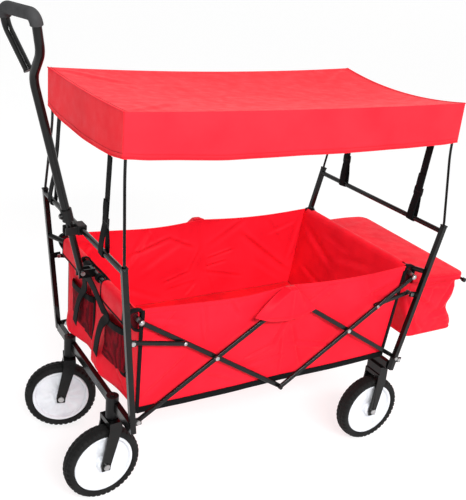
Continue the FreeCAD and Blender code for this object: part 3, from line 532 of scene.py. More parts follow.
# ------------------------------------------------------------------ tub
FLOOR, RIM = 294.0, 556.0
CENTRE_X = 9.0                     # the middle scissor joint
RIM_FRONT, RIM_REAR = 407, -381    # the ends of the sides' rim
SIDE_FOLDS = [                     # start, end, width, height
    ((254, 540), (238, 452), 7, 1.8), ((300, 415), (398, 335), 10, 2.4),
    ((180, 552), (150, 500), 7, -1.4), ((112, 364), (30, 388), 7, 2.4),
    ((30, 388), (-4, 462), 7, 2.4), ((98, 338), (0, 354), 8, 1.6), ((-20, 382), (-150, 352), 8, 1.8),
    ((-40, 470), (-150, 540), 12, 2.0), ((60, 500), (190, 420), 14, 1.8),
    ((-230, 540), (-300, 440), 12, 1.8), ((-300, 330), (-205, 400), 12, 2.0),
    ((330, 540), (392, 470), 8, 2.2), ((380, 520), (300, 500), 9, 1.4),
    ((-340, 520), (-250, 490), 9, 1.6), ((120, 310), (230, 360), 12, 1.5),
    ((-60, 320), (-20, 440), 7, -1.6), ((6, 300), (9, 420), 4, 1.4),
    ((-362, 470), (-372, 380), 7, 2.0),
]
FAR_FOLDS = [                      # the right side has these, and the others more weakly
    ((223, 467), (107, 505), 9, 2.6), ((107, 505), (30, 470), 8, 2.0),
    ((10, 346), (39, 315), 6, 2.6), ((-155, 485), (-324, 350), 12, 3.0),
    ((-34, 425), (-111, 445), 6, 2.2), ((4, 540), (-6, 340), 4, 1.8),
    ((-360, 520), (-330, 400), 10, 2.6), ((-30, 400), (-90, 410), 6, 1.6),
    ((180, 540), (240, 440), 12, 2.2),
]


SIDE_LIMIT, SIDE_EASE = 246.6, 3.6  # the sides stay inside the bars, and near them they level off
FOLD_DEPTH = 2.6                   # the sides' listed folds stand out by this many times


def rim_height(x):
    """The rim hangs a little between the scissor joints that hold it up."""
    if x > CENTRE_X:
        t = (x - CENTRE_X) / (408 - CENTRE_X)
        drop = 10.0 * (math.sin(math.pi * t) + 0.25 * math.sin(2 * math.pi * t))
    else:
        t = (CENTRE_X - x) / (CENTRE_X - RIM_REAR)
        drop = 8.5 * math.sin(math.pi * t)
    return RIM + 0.5 - drop


def side_point(sign):
    def at(u, v):
        front, rear = mix(408, RIM_FRONT, v), mix(-350, RIM_REAR, v)
        x = mix(front, rear, u)
        top = rim_height(x)
        z = mix(FLOOR, top, v)
        held = math.sin(math.pi * min(1.0, abs(x - CENTRE_X) / 385.0)) ** 2
        y = 244.3 - 4.2 * held * math.sin(math.pi * v) ** 0.8
        rumple = 1.3 * ripple((x, z, 0), 70, 1 + sign) + 0.6 * ripple((x, z, 0), 26, 3 + sign)
        folds = sum(crease(x, z, f) for f in SIDE_FOLDS)
        if sign < 0:
            folds = sum(crease(x, z, f) for f in FAR_FOLDS) + 0.6 * folds
        edge = ease(v / 0.06) * ease((1 - v) / 0.05) * ease(u / 0.02) * ease((1 - u) / 0.02)
        y += edge * (rumple + FOLD_DEPTH * folds)
        soft = SIDE_LIMIT - SIDE_EASE
        if y > soft:
            y = SIDE_LIMIT - SIDE_EASE * math.exp((soft - y) / SIDE_EASE)
        return x, sign * y, z
    return at


SEAM_Y = 247.0                     # the corner bindings
# the openings' bindings, and the dark panels of painted shade set behind them
OPENING_Y, SHADE_PANEL_Y = 242.8, 239.5
FRONT_OPENING = [(409.5, 556), (408, 534), (409, 514), (415, 506.5), (427, 511), (438, 528),
                 (442, 546), (436, 556), (422, 558.5), (409.5, 556)]
REAR_OPENING = [(-384, 556), (-381, 535), (-382, 512), (-391, 503), (-404, 511), (-412, 530),
                (-414, 548), (-407, 556), (-395, 558), (-384, 556)]


def tub_sides():
    for word, sign in SIDES:
        at = side_point(sign)
        side = cloth(f"tub_side_{word}", at, 300, 110, "front_frame", "red_fabric", 1.7)
        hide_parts("tub_sides")
        folds_with_tub(side)
        rim = [(x, sign * 244.4, rim_height(x)) for x in
               (mix(RIM_FRONT, RIM_REAR, i / 60) for i in range(61))]
        folds_with_tub(cord_line(f"rim_roll_{word}", rim, 2.3, "front_frame", 140))
        sew = [((x, sign * (at((RIM_FRONT - x) / (RIM_FRONT - RIM_REAR), 0.95)[1] * sign + 1.0),
                 z - 9.5), (0, sign, 0)) for x, _, z in rim]
        folds_with_tub(stitches(f"rim_stitches_{word}", [sew], "front_frame"))
        band = []
        for i in range(61):
            x = mix(410, -352, i / 60)
            band.append((x, sign * 246.6, 290 - 3.0 * abs(math.sin(math.pi * (x - CENTRE_X) / 386))
                         + 0.8 * ripple((x, 0, 0), 60, 9)))
        folds_with_tub(ribbon(f"base_binding_{word}", band, (0, 0, 1), 16, 2.2, 140))
        front = [(409.5, sign * SEAM_Y, z) for z in (284, 360, 430, 500, 510)]
        front += [(407.0, sign * SEAM_Y, z) for z in (530, 550, 556)]
        rear = [(mix(-348, -380, (z - 294) / 262), sign * SEAM_Y, z) for z in range(284, 560, 20)]
        for end, corner in (("front", front), ("rear", rear)):
            ribbon(f"{end}_corner_binding_{word}", corner, (1, 0, 0), 9, 2.4, 40, f"{end}_frame")
        for end, loop in (("front", FRONT_OPENING), ("rear", REAR_OPENING)):
            ribbon(f"{end}_opening_binding_{word}", [(x, sign * OPENING_Y, z) for x, z in loop],
                   (0, 1, 0), 12, 4.4, 72, f"{end}_frame")
            # a dark panel of painted shade fills each opening
            painted_shade(f"{end}_opening_lining_{word}", loop[:-1], sign * SHADE_PANEL_Y, f"{end}_frame")


def painted_shade(name, loop, y, body):
    """A dark panel of painted shade, put where the inside of a corner opening of the tub lies in
    shadow.
    """
    panel = piece(name, [(x, y, z) for x, z in loop], [tuple(range(len(loop)))], body,
                  "black_webbing", MATERIALS["painted_shade"], smooth=False)
    thicken(panel, 1.4)


def joint_flaps():
    """The red flap that hangs over each middle joint from the tub's rim."""
    for word, sign in SIDES:
        def at(u, v):
            over, fall = min(1.0, v / 0.16), max(0.0, (v - 0.16) / 0.84)
            x = mix(mix(26, 118, fall ** 0.9), mix(-8, -68, fall ** 0.9), u)
            low = mix(498, 494, u) - 23 * math.sin(math.pi * u) * fall ** 2
            z = mix(558.5 - 3.0 * over ** 2, low, fall)
            on_side = (1 - ease(min(u, 1 - u) / 0.22)) * (1 - fall) ** 0.8
            y = 246.9 + 25.1 * math.sin(math.pi / 2 * over) * (1 - on_side)
            y += 1.0 * ripple((x, z, 0), 30, 5) * fall
            y += 1.6 * math.sin(math.pi * 3 * u) * fall ** 2
            y += crease(x, z, ((10, 560), (8, 476), 5, 1.5))
            return x, sign * max(y, 246.5), z
        flap = cloth(f"joint_flap_{word}", at, 60, 40, "front_frame", "red_fabric", 1.5)
        folds_with_tub(flap)
        edge = [(Vector(at(i / 30, 0.93)) + Vector((0, sign * 1.0, 0)), (0, sign, 0))
                for i in range(31)]
        folds_with_tub(stitches(f"flap_stitches_{word}", [edge], "front_frame"))


def front_profile(y):
    """The front wall and its hem, from the floor up, over the rail and down outside."""
    a = hump(y, 62, 92) + 0.9 * hump(y, -168, 62) - 0.35 * hump(y, -60, 30)
    a = max(0.0, a) * ease((240 - abs(y)) / 30)
    return [(405.5, 295.5), (414 + 10 * a, 294.5 - 4 * a), (414 + 27 * a, 304), (414 + 25 * a, 326),
            (414 + 13 * a, 362), (413.5 + 4 * a, 410), (414, 475), (415, 535), (416.5, 552),
            (421.5, 557.6), (429.5, 559.2), (437.2, 556.4), (440.6, 548), (441.6, 530), (442.0, 511)]


FRONT_FOLDS = [((-60, 540), (-40, 330), 9, 2.0), ((30, 350), (95, 300), 10, 3.0),
               ((-20, 360), (20, 300), 8, 3.0), ((-190, 340), (-150, 300), 9, 2.6),
               ((150, 350), (215, 310), 9, 2.4), ((200, 500), (225, 400), 9, 2.0),
               ((-215, 500), (-190, 400), 9, 2.0), ((100, 500), (180, 480), 8, 1.2),
               ((-120, 540), (-190, 470), 9, 1.8)]
HEM_START = 9.3 / 14               # share of the profile where the hem leaves the wall
END_HALF = 243.2                   # half width of the end walls


def across_share(y):
    """Where a place across an end wall is on its sheet, 0 to 1."""
    return (END_HALF + y) / (2 * END_HALF)


def end_wall_piece(name, body, profile, folds, seed, outward, skip):
    """A wall of the tub with its hem, and the function that gives its points."""
    def at(u, v):
        y = mix(-END_HALF, END_HALF, u)
        x, z = along_route(profile(y), v)
        edge = ease(v / 0.05) * ease((HEM_START - v) / 0.1) * ease((1 - abs(2 * u - 1)) / 0.05)
        push = 1.5 * sum(crease(y, z, f) for f in folds)
        push += 1.5 * ripple((y, z, 0), 60, seed) + 0.6 * ripple((y, z, 0), 24, seed + 1)
        hem = ease((v - 0.8) / 0.15)
        drape = 1.1 * ripple((y, z, 0), 45, seed + 2) * hem
        droop = -3.0 * hem * math.sin(math.pi * abs(y) / END_HALF) ** 2
        return x + outward * (edge * push + drape), y, z + droop * 0.6
    return cloth(name, at, 122, 110, body, "red_fabric", 1.7, skip), at


CUT_START = 7.85 / 14              # share of the profile where the front cut-out starts
HEM_END_Y = 213                    # the hem stops beside the uprights


def hem_end(end, word, sign, at, slot):
    """The bound end of a wall's hem."""
    edge = [at(across_share(sign * HEM_END_Y), v / 30) for v in range(20, 31)]
    ribbon(f"{end}_hem_end_{word}", edge, (0, 1, 0), 5, 2.4, 40, f"{end}_frame", slot)


def tub_front():
    def skip(u, v):
        y = mix(-END_HALF, END_HALF, u)
        return (abs(y) < 73 and v > CUT_START) or (abs(y) > HEM_END_Y + 1 and v > HEM_START)
    wall, at = end_wall_piece("tub_front_panel", "front_frame", front_profile, FRONT_FOLDS, 20, 1,
                              skip)
    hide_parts("tub_front_wall")
    for word, sign in SIDES:
        low = [at(across_share(sign * y), 0.985)
               for y in (75, 100, 125, 150, 175, 200, HEM_END_Y)]
        ribbon(f"front_hem_binding_{word}", [(x + 0.3, y, z) for x, y, z in low], (0, 0, 1), 5,
               2.6, 50)
        edge = [at(across_share(sign * 74), v / 30) for v in range(17, 31)]
        ribbon(f"cutout_binding_{word}", edge, (0, 1, 0), 6, 2.4, 40)
        hem_end("front", word, sign, at, "black_webbing")
    across = [at(across_share(y), CUT_START) for y in range(-74, 75, 12)]
    ribbon("cutout_binding_low", across, (0, 0, 1), 7, 2.4, 40)


def rear_profile(y):
    return [(-345.5, 295.5), (-348.5, 296.5), (-351, 310), (-354, 335), (-358, 370), (-362.5, 410),
            (-370, 475), (-377.5, 535), (-381, 551), (-386, 557.6), (-394.5, 559.2),
            (-402.4, 556.4), (-405.6, 548), (-406.4, 530), (-406.8, 512)]


REAR_FOLDS = [((-200, 500), (-60, 440), 14, 3.0), ((-40, 470), (110, 500), 14, 2.4),
              ((60, 420), (210, 470), 12, 2.6), ((-180, 380), (-60, 350), 12, 2.0),
              ((20, 360), (160, 380), 12, 2.0), ((-120, 520), (0, 505), 10, 1.4)]


def tub_rear():
    def skip(u, v):
        return abs(mix(-END_HALF, END_HALF, u)) > HEM_END_Y + 1 and v > HEM_START
    wall, at = end_wall_piece("tub_rear_panel", "rear_frame", rear_profile, REAR_FOLDS, 30, -1,
                              skip)
    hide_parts("tub_rear_wall")
    for word, sign in SIDES:
        hem_end("rear", word, sign, at, "red_fabric")


def tub_floor():
    def base(u, v):
        x, y = mix(405.5, -345, u), mix(-241, 241, v)
        edge = ease(min(u, 1 - u, v, 1 - v) / 0.04)
        return x, y, 295.4 - 0.9 * edge * (0.5 + 0.5 * ripple((x, y, 0), 60, 40))
    floor = cloth("tub_base", base, 90, 60, "front_frame", "red_fabric", 1.7)
    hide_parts("tub_floor")
    folds_with_tub(floor)


def simulate(obj, frames, pressure, cap):
    """Runs Blender's cloth on a piece and keeps its shape, no point further than cap in mm."""
    rest = [v.co.copy() for v in obj.data.vertices]
    modifier = obj.modifiers.new("cloth", "CLOTH")
    own = modifier.settings
    own.quality, own.mass = 6, 0.2
    own.tension_stiffness = own.compression_stiffness = 20
    own.shear_stiffness, own.bending_stiffness = 5, 0.6
    own.use_pressure, own.uniform_pressure_force = True, pressure
    own.effector_weights.gravity = 0
    modifier.point_cache.frame_start, modifier.point_cache.frame_end = 1, frames
    scene = bpy.context.scene
    for frame_number in range(1, frames + 1):
        scene.frame_set(frame_number)
    applied(obj)
    for vertex, was in zip(obj.data.vertices, rest):
        move = vertex.co - was
        if move.length > cap * MM:
            vertex.co = was + move.normalized() * cap * MM
    scene.frame_set(1)


def closed_pad(name, outline_at, nu, nv, low, high, body, slot):
    """A closed pad over a plan: outline_at(u, v) gives x, y, and low and high its two faces."""
    verts, faces = [], []
    for side in (low, high):
        for j in range(nv + 1):
            for i in range(nu + 1):
                x, y = outline_at(i / nu, j / nv)
                verts.append((x, y, side(x, y, i / nu, j / nv)))
    count = (nu + 1) * (nv + 1)
    for j in range(nv):
        for i in range(nu):
            a = j * (nu + 1) + i
            faces.append((a, a + nu + 1, a + nu + 2, a + 1))
            faces.append((count + a, count + a + 1, count + a + nu + 2, count + a + nu + 1))
    edge = [j * (nu + 1) for j in range(nv + 1)] + [nv * (nu + 1) + i for i in range(1, nu + 1)]
    edge += [j * (nu + 1) + nu for j in range(nv - 1, -1, -1)] + list(range(nu - 1, 0, -1))
    for a, b in zip(edge, edge[1:] + edge[:1]):
        faces.append((a, count + a, count + b, b))
    return piece(name, verts, faces, body, slot)


MAT_SEAMS = (-155.0, 30.0, 215.0)
MAT_FRONT, MAT_REAR, MAT_HALF = 405, -344, 243


def floor_mat():
    """The stiffened mat in four padded panels, sewn across."""
    def outline(u, v):
        return mix(MAT_FRONT, MAT_REAR, u), mix(-MAT_HALF, MAT_HALF, v)

    def low(x, y, u, v):
        return 299.6

    def high(x, y, u, v):
        length, width = MAT_FRONT - MAT_REAR, 2 * MAT_HALF
        edge = min(u * length, (1 - u) * length, v * width, (1 - v) * width)
        seam = min(abs(x - s) for s in MAT_SEAMS)
        return 302.4 + 2.2 * ease(edge / 14) * (0.1 + 0.9 * ease(seam / 12))
    pad = closed_pad("floor_pad", outline, 124, 78, low, high, "front_frame", "floor_board")
    simulate(pad, 14, 1.5, 1.4)
    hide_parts("floor_mat")
    folds_with_tub(pad)


# ------------------------------------------------------------------ front pockets and webbing
def pockets():
    for word, low, high, base, top in (("left", 58, 186, 350, 468), ("right", -186, -30, 338, 455)):
        def at(u, v):
            y = mix(low, high, u)
            slope = mix(-9, 9, u) * (1 if word == "left" else 0.8)
            z = mix(base, top, v) + slope * (0.4 + 0.6 * v)
            bulge = 7.5 * math.sin(math.pi * u) ** 0.6 * (0.45 + 0.55 * v)
            wall = along_route(front_profile(y), 5.2 / 14)[0]
            x = wall + 2.5 + ease(min(u, 1 - u) / 0.1) * (5.0 + bulge) * ease(v / 0.08)
            x += 1.2 * ripple((y, z, 0), 22, 50 + low) + 8 * hump(z, 350, 22) * hump(y, 62, 90)
            return x, y, z
        pouch = cloth(f"mesh_pocket_{word}", at, 54, 44, "front_frame", "black_mesh", 1.0)
        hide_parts("front_pockets")
        border = [at(0, t / 8) for t in range(8, -1, -1)] + [at(t / 10, 0) for t in range(1, 11)]
        border += [at(1, t / 8) for t in range(1, 9)]
        ribbon(f"pocket_binding_{word}", [(x + 0.6, y, z) for x, y, z in border],
               [(0, 1, 0)] * 9 + [(0, 0, 1)] * 10 + [(0, 1, 0)] * 8, 11, 2.0)
        brim = [at(t / 12, 0.94) for t in range(13)]
        ribbon(f"pocket_brim_{word}", [(x + 0.8, y, z) for x, y, z in brim], (0, 0, 1), 17, 2.4,
               40)


FRONT_STRAP = 27                   # the width of the webbing at the front


def front_webbing():
    """The two webbing straps that fan out from the middle of the rim to the pockets."""
    tail = [(441, -52, 528), (444, -20, 533), (446, 15, 531), (446.5, 48, 521), (446, 78, 506),
            (442, 98, 489), (436, 100, 474), (434, 88, 460), (437, 72, 440), (440, 62, 410),
            (441, 52, 375), (441, 44, 342)]
    turns = [(0, 0.1, 1)] * 4 + [(0, 0.5, 1)] * 2 + [(0, 1, 0.4)] + [(0, 1, -0.2)] * 5
    ribbon("front_strap_left", tail, turns, FRONT_STRAP, 1.8, 90)
    tail = [(440, -46, 530), (436, -56, 505), (431, -68, 478), (431, -84, 455), (436, -97, 425),
            (439, -108, 385), (439, -118, 350)]
    ribbon("front_strap_right", tail, (0, 1, 0.3), FRONT_STRAP, 1.8, 70)
    rail_x, rail_z = 430, 547
    for word, radius, y, width in (("loop", 9.4, -46, 24), ("keeper", 9.6, 34, 14)):
        ring = [(rail_x + radius * math.cos(2 * math.pi * i / 20), y,
                 rail_z + radius * math.sin(2 * math.pi * i / 20)) for i in range(20)]
        ribbon(f"front_strap_{word}", ring, (0, 1, 0), width, 1.8, closed=True)


# ------------------------------------------------------------------ canopy
ROOF_FRONT, ROOF_REAR, ROOF_Y, ROOF_Z, SKIRT = 472.0, -475.0, 250.0, 1010.0, 105.0


def roof_sag(u, v):
    """How far the roof hangs below its corners: u from front to rear, v from right to left."""
    def bow(t):
        return 4 * t * (1 - t)
    front, rear = 6.0 * bow(v), 22.0 * bow(v)
    right, left = 11.0 * bow(u), 5.0 * bow(u)
    edges = mix(front, rear, u) + mix(right, left, v)
    return edges + 9.0 * bow(u) * bow(v)


ROOF_CREASES = (                   # at three corners: strength, then the fold
    (2.2, ((455, 235), (300, 120), 16, 1)), (2.0, ((-455, -235), (-300, -110), 18, 1)),
    (2.0, ((455, -235), (310, -120), 18, 1)))


def canopy():
    nu, nv, ns = 130, 74, 16

    def roof(u, v):
        x, y = mix(ROOF_FRONT, ROOF_REAR, u), mix(-ROOF_Y, ROOF_Y, v)
        z = ROOF_Z - roof_sag(u, v)
        inside = ease(min(u, 1 - u) * 947 / 40) * ease(min(v, 1 - v) * 500 / 40)
        z += inside * (1.4 * ripple((x, y * 0.6, 0), 120, 60) + 0.5 * ripple((x, y, 0), 40, 61))
        for strength, fold in ROOF_CREASES:
            z += strength * crease(x, y, fold) * inside
        return x, y, z
    verts, faces, index = [], [], {}

    def vertex(point):
        key = tuple(round(c, 3) for c in point)
        if key not in index:
            index[key] = len(verts)
            verts.append(point)
        return index[key]
    rows = [[vertex(roof(shape_u(i / nu), shape_u(j / nv))) for i in range(nu + 1)]
            for j in range(nv + 1)]
    for j in range(nv):
        for i in range(nu):
            faces.append((rows[j][i], rows[j][i + 1], rows[j + 1][i + 1], rows[j + 1][i]))
    ring = rows[0][:] + [rows[j][-1] for j in range(1, nv + 1)] + rows[nv][-2::-1]
    ring += [rows[j][0] for j in range(nv - 1, 0, -1)]
    previous = ring
    for k in range(1, ns + 1):
        t = shape_u(k / ns * 0.5) * 2 if k < ns else 1.0
        level = []
        for a in ring:
            x, y, z = verts[a]
            cx = min(abs(x - ROOF_FRONT), abs(x - ROOF_REAR))
            cy = min(abs(y - ROOF_Y), abs(y + ROOF_Y))
            from_corner = max(cx, cy)
            free = ease(from_corner / 60)
            long_side = cy < 0.01
            out = free * (2.4 * math.sin(math.pi * t) + 1.6 * ripple((x, y, z), 110, 70) * t
                          - 2.0 * t + 0.8 * ripple((x, y, z - 90 * t), 45, 71))
            ox = 0 if long_side else math.copysign(out, x)
            oy = math.copysign(out, y) if long_side else 0
            drop = SKIRT * t + free * t * (3.0 + 2.0 * ripple((x, y, 0), 150, 72))
            drop -= 8.0 * t * ease((x - 200) / 260)      # the skirt is shorter at the front
            if not long_side and x > 0:
                drop += 7.0 * t * (1 - (y / ROOF_Y) ** 2)
            level.append(vertex((x + ox, y + oy, z - drop * 0.985)))
        for n in range(len(ring)):
            m = (n + 1) % len(ring)
            faces.append((previous[n], level[n], level[m], previous[m]))
        previous = level
    hem = [verts[a] for a in previous]
    # the canopy takes the paler copy of the red cloth, whose extra paleness is painted light
    top = piece("canopy_sheet", verts, [f[::-1] for f in faces], "front_frame", "red_fabric",
                MATERIALS["roof"])
    thicken(top, 1.5)
    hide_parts("canopy")
    canopy_follows(top)
    outward = []
    for x, y, z in hem:
        if abs(abs(y) - ROOF_Y) < 4 and ROOF_REAR + 5 < x < ROOF_FRONT - 5:
            outward.append((0, math.copysign(1, y), 0))
        else:
            outward.append((math.copysign(1, x), 0, 0))
    lift = 11.0
    row = [((p[0] + o[0] * 0.9, p[1] + o[1] * 0.9, p[2] + lift), o) for p, o in zip(hem, outward)]
    canopy_follows(stitches("canopy_hem_stitches", [row + row[:1]], "front_frame"))
    step = 3
    line = [(p[0], p[1], p[2] + 0.5) for p in hem[::step]]
    canopy_follows(cord_line("canopy_hem_roll", line, 1.7, "front_frame", len(line) * 2, 8,
                             closed=True, material=MATERIALS["roof"]))
    for word, x in (("front", ROOF_FRONT), ("rear", ROOF_REAR)):
        u = 0.0 if x > 0 else 1.0
        edge = [(x + math.copysign(0.6, x), mix(-ROOF_Y, ROOF_Y, j / 40),
                 ROOF_Z - roof_sag(u, j / 40) + 0.2) for j in range(41)]
        canopy_follows(cord_line(f"canopy_piping_{word}", edge, 1.9, "front_frame", 120))
        sew = [((ex - math.copysign(7, x), ey * 0.985, ez + 1.0), (0, 0, 1)) for ex, ey, ez in edge]
        canopy_follows(stitches(f"canopy_edge_stitches_{word}", [sew], "front_frame"))


def shape_u(t):
    """Bunches the lines of a grid towards both ends, so that the edges turn tightly."""
    return t - math.sin(2 * math.pi * t) / (2 * math.pi) * 0.72


def canopy_follows(obj):
    """Gives the canopy or a piece of its trim its own copy of its mesh."""
    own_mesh(obj)


# ------------------------------------------------------------------ canopy straps
def triglide(name, middle, run, normal, body):
    """A moulded slider: a rounded frame with a bar across, threaded by the strap."""
    run, normal = Vector(run).normalized(), Vector(normal)
    side = run.cross(normal).normalized()
    normal = side.cross(run).normalized()
    turn = Matrix((side, run, normal)).transposed().to_4x4()
    mesh = bmesh.new()
    for along, across, out, wide, long, thick in (
            (-9, 0, 0, 33, 5, 4.4), (9, 0, 0, 33, 5, 4.4), (0, 0, 1.6, 28, 5, 3.4),
            (0, -14.8, 0, 4.2, 14.2, 4.2), (0, 14.8, 0, 4.2, 14.2, 4.2)):
        place = Matrix.Translation(
            (Vector(middle) + run * along + side * across + normal * out) * MM)
        bmesh.ops.create_cube(mesh, size=1, matrix=place @ turn @ Matrix.Diagonal(
            (wide * MM, long * MM, thick * MM, 1)))
    data = bpy.data.meshes.new(name)
    mesh.to_mesh(data)
    mesh.free()
    obj = bpy.data.objects.new(name, data)
    bpy.context.collection.objects.link(obj)
    data.materials.append(MATERIALS["black_plastic"])
    rounding = obj.modifiers.new("edges", "BEVEL")
    rounding.width, rounding.segments, rounding.limit_method = 1.0 * MM, 2, "ANGLE"
    applied(obj)
    for polygon in obj.data.polygons:
        polygon.use_smooth = True
    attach(obj, body)


STRAP_WIDTH, STRAP_HEAD_Z = 25, 901.5


def canopy_straps():
    """Four adjustable straps from the top bars up to the roof, each with a loop and a slider."""
    for end, bar_x, bar_z, head_x, feet, heads in (
            ("front", 470.2, 671.0, 470.4, (157, -214), (178, -164)),
            ("rear", -456.6, 665.0, -472.8, (156, -162), (164, -185))):
        body = f"{end}_frame"
        for (word, _), foot, head in zip(SIDES, feet, heads):
            base = Vector((bar_x, foot, bar_z))
            run = Vector((head_x - bar_x, head - foot, STRAP_HEAD_Z - bar_z))
            span = run.length
            run.normalize()
            out = Vector((1, 0, 0))
            out = (out - run * out.dot(run)).normalized()
            across = run.cross(out).normalized()
            wave = [1.1 * ripple((s, foot, 0), 60, 80) for s in range(0, 260, 10)]
            main = [base + run * s + out * wave[int(s / 10)] * ease((s - 60) / 40)
                    for s in (62, 80, 100, 120, 140, 160, 180, 200, 215, span)]
            strap = ribbon(f"{end}_strap_{word}", [tuple(p) for p in main], tuple(across),
                           STRAP_WIDTH, 1.7, 50, body)
            if word == "left":
                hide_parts(f"{end}_canopy_straps")
            ring = []
            for share in (1.0, 0.75, 0.5, 0.3):
                ring.append(base + run * (10 + 62 * share) + out * (1.6 + 7.4 * (1 - share) ** 0.8))
            for i in range(9):
                turn = -0.1 * math.pi - i * 0.8 * math.pi / 8
                ring.append(base + out * (8.6 * math.cos(turn)) + run * (8.6 * math.sin(turn)))
            for share in (0.3, 0.5, 0.75, 1.0):
                ring.append(base + run * (10 + 62 * share) - out * (1.6 + 7.4 * (1 - share) ** 0.8))
            ribbon(f"{end}_strap_loop_{word}", [tuple(p) for p in ring], tuple(across),
                   STRAP_WIDTH, 1.7, 90, body)
            tail = [base + run * s + out * (2.6 + 0.8 * math.sin(s / 14)) for s in (66, 90, 110, 128)]
            ribbon(f"{end}_strap_tail_{word}", [tuple(p) for p in tail], tuple(across),
                   STRAP_WIDTH, 1.7, 30, body)
            triglide(f"{end}_slider_{word}", base + run * 78, run, out, body)


# ------------------------------------------------------------------ rear bag
BAG_LOW, BAG_HIGH = 316.0, 495.0


def bag_ring(t, height):
    """A point round the bag at a height, t from 0 to 1 from the front left corner."""
    half, round_r = 234.0, 26.0
    high = (height - BAG_LOW) / (BAG_HIGH - BAG_LOW)
    front = mix(-446, -410, ease(high * 1.1))
    rear = mix(-630, -614, high) + 22 * hump(height, 389, 30)
    length = front - rear
    corners = [(front, half), (rear, half), (rear, -half), (front, -half)]
    total = 2 * (length + 2 * half)
    at = t * total
    sides = [(0, length), (1, 2 * half), (2, length), (3, 2 * half)]
    for k, run in sides:
        if at <= run:
            break
        at -= run
    (ax, ay), (bx, by) = corners[k], corners[(k + 1) % 4]
    x, y = mix(ax, bx, at / run), mix(ay, by, at / run)
    nx, ny = ((0, 1), (-1, 0), (0, -1), (1, 0))[k]
    near = min(at, run - at)
    if near < round_r:               # the corners turn on a radius
        other = (k - 1) % 4 if at < run / 2 else (k + 1) % 4
        ox, oy = ((0, 1), (-1, 0), (0, -1), (1, 0))[other]
        blend = 0.5 * (1 - near / round_r)
        cut = round_r * 0.42 * (1 - near / round_r) ** 2
        x, y = x - (nx + ox) * cut * 0.5, y - (ny + oy) * cut * 0.5
        nx, ny = mix(nx, ox, blend), mix(ny, oy, blend)
        scale = math.hypot(nx, ny)
        nx, ny = nx / scale, ny / scale
    return x, y, nx, ny, k


END_FOLDS = [((-425, 470), (-520, 405), 10, -7.0), ((-422, 455), (-470, 340), 9, -6.0),
             ((-430, 480), (-560, 452), 9, -5.0), ((-440, 380), (-500, 330), 9, 5.0),
             ((-600, 470), (-560, 400), 11, -5.0), ((-596, 385), (-530, 380), 10, -6.0),
             ((-604, 350), (-560, 372), 9, 4.0), ((-520, 470), (-500, 420), 8, 4.0),
             ((-470, 460), (-455, 400), 6, 5.0)]
BACK_FOLDS = [((-200, 470), (-110, 400), 12, -6), ((-60, 490), (10, 400), 12, -5),
              ((100, 480), (190, 400), 12, -6), ((-150, 340), (-20, 385), 12, -5),
              ((40, 340), (170, 372), 12, -5), ((-215, 420), (-160, 330), 10, 4),
              ((215, 440), (180, 350), 10, 4)]


def bag():
    nt, nz = 260, 52

    def at(u, v):
        z = mix(BAG_LOW + 2, BAG_HIGH, v)
        x, y, nx, ny, k = bag_ring(u, z)
        if k in (0, 2):
            push = sum(crease(x, z, f) for f in END_FOLDS)
        elif k == 1:
            push = sum(crease(y, z, f) for f in BACK_FOLDS)
        else:
            push = 0.0
        push += 2.6 * ripple((x, y, z), 42, 90) + 1.2 * ripple((x, y, z), 17, 91)
        push *= ease(v / 0.08) * ease((1 - v) / 0.12)
        push = min(push - 1.5, 2.0)
        return x + nx * push, y + ny * push, z
    verts = [at(i / nt, j / nz) for j in range(nz + 1) for i in range(nt)]
    faces = []
    for j in range(nz):
        for i in range(nt):
            m = (i + 1) % nt
            faces.append((j * nt + i, (j + 1) * nt + i, (j + 1) * nt + m, j * nt + m))
    rings = 6
    middle = Vector((-530, 0, 0))
    for k in range(1, rings + 1):    # the bottom, in rings towards its middle
        for i in range(nt):
            x, y, z = at(i / nt, 0)
            s = 1 - k / rings if k < rings else 0.02
            sag = 2.0 * (1 - s) * (1 + 0.5 * ripple((x * s, y * s, 0), 60, 95))
            verts.append((mix(middle.x, x, s), mix(0, y, s), z - sag))
    base = (nz + 1) * nt
    for k in range(rings):
        a = 0 if k == 0 else base + (k - 1) * nt
        b = base + k * nt
        for i in range(nt):
            m = (i + 1) % nt
            faces.append((a + i, a + m, b + m, b + i))
    faces.append(tuple(base + (rings - 1) * nt + i for i in range(nt)))
    shell = piece("rear_bag_shell", verts, faces, "rear_frame", "red_fabric")
    thicken(shell, 1.7)
    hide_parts("rear_bag")
    strip = cloth("bag_top_strip", lambda u, v: (
        mix(-407.5, -422.5, v), mix(-234, 234, u),
        503.0 + 0.8 * math.sin(math.pi * v) + 0.5 * ripple((u * 470, v * 15, 0), 30, 96)), 90, 6,
        "rear_frame", "red_fabric", 1.8)
    seam = [at(i / 120, 0.02) for i in range(120)]
    cord_line("bag_base_piping", seam, 1.8, "rear_frame", 240, 8, closed=True)


LIP_LOW = 484.0                    # how far down the lid's lip reaches
LIP_ROWS = ((0.8, 2.5), (1.2, 6), (1.0, 11), (0.6, 17), (1.0, 23), (1.6, 27))  # out, down
LID_CREASES = (((-610, 210), (-520, 120), 14, 1.8), ((-600, -190), (-500, -150), 14, 1.6),
               ((-560, 60), (-470, 190), 14, 1.2))


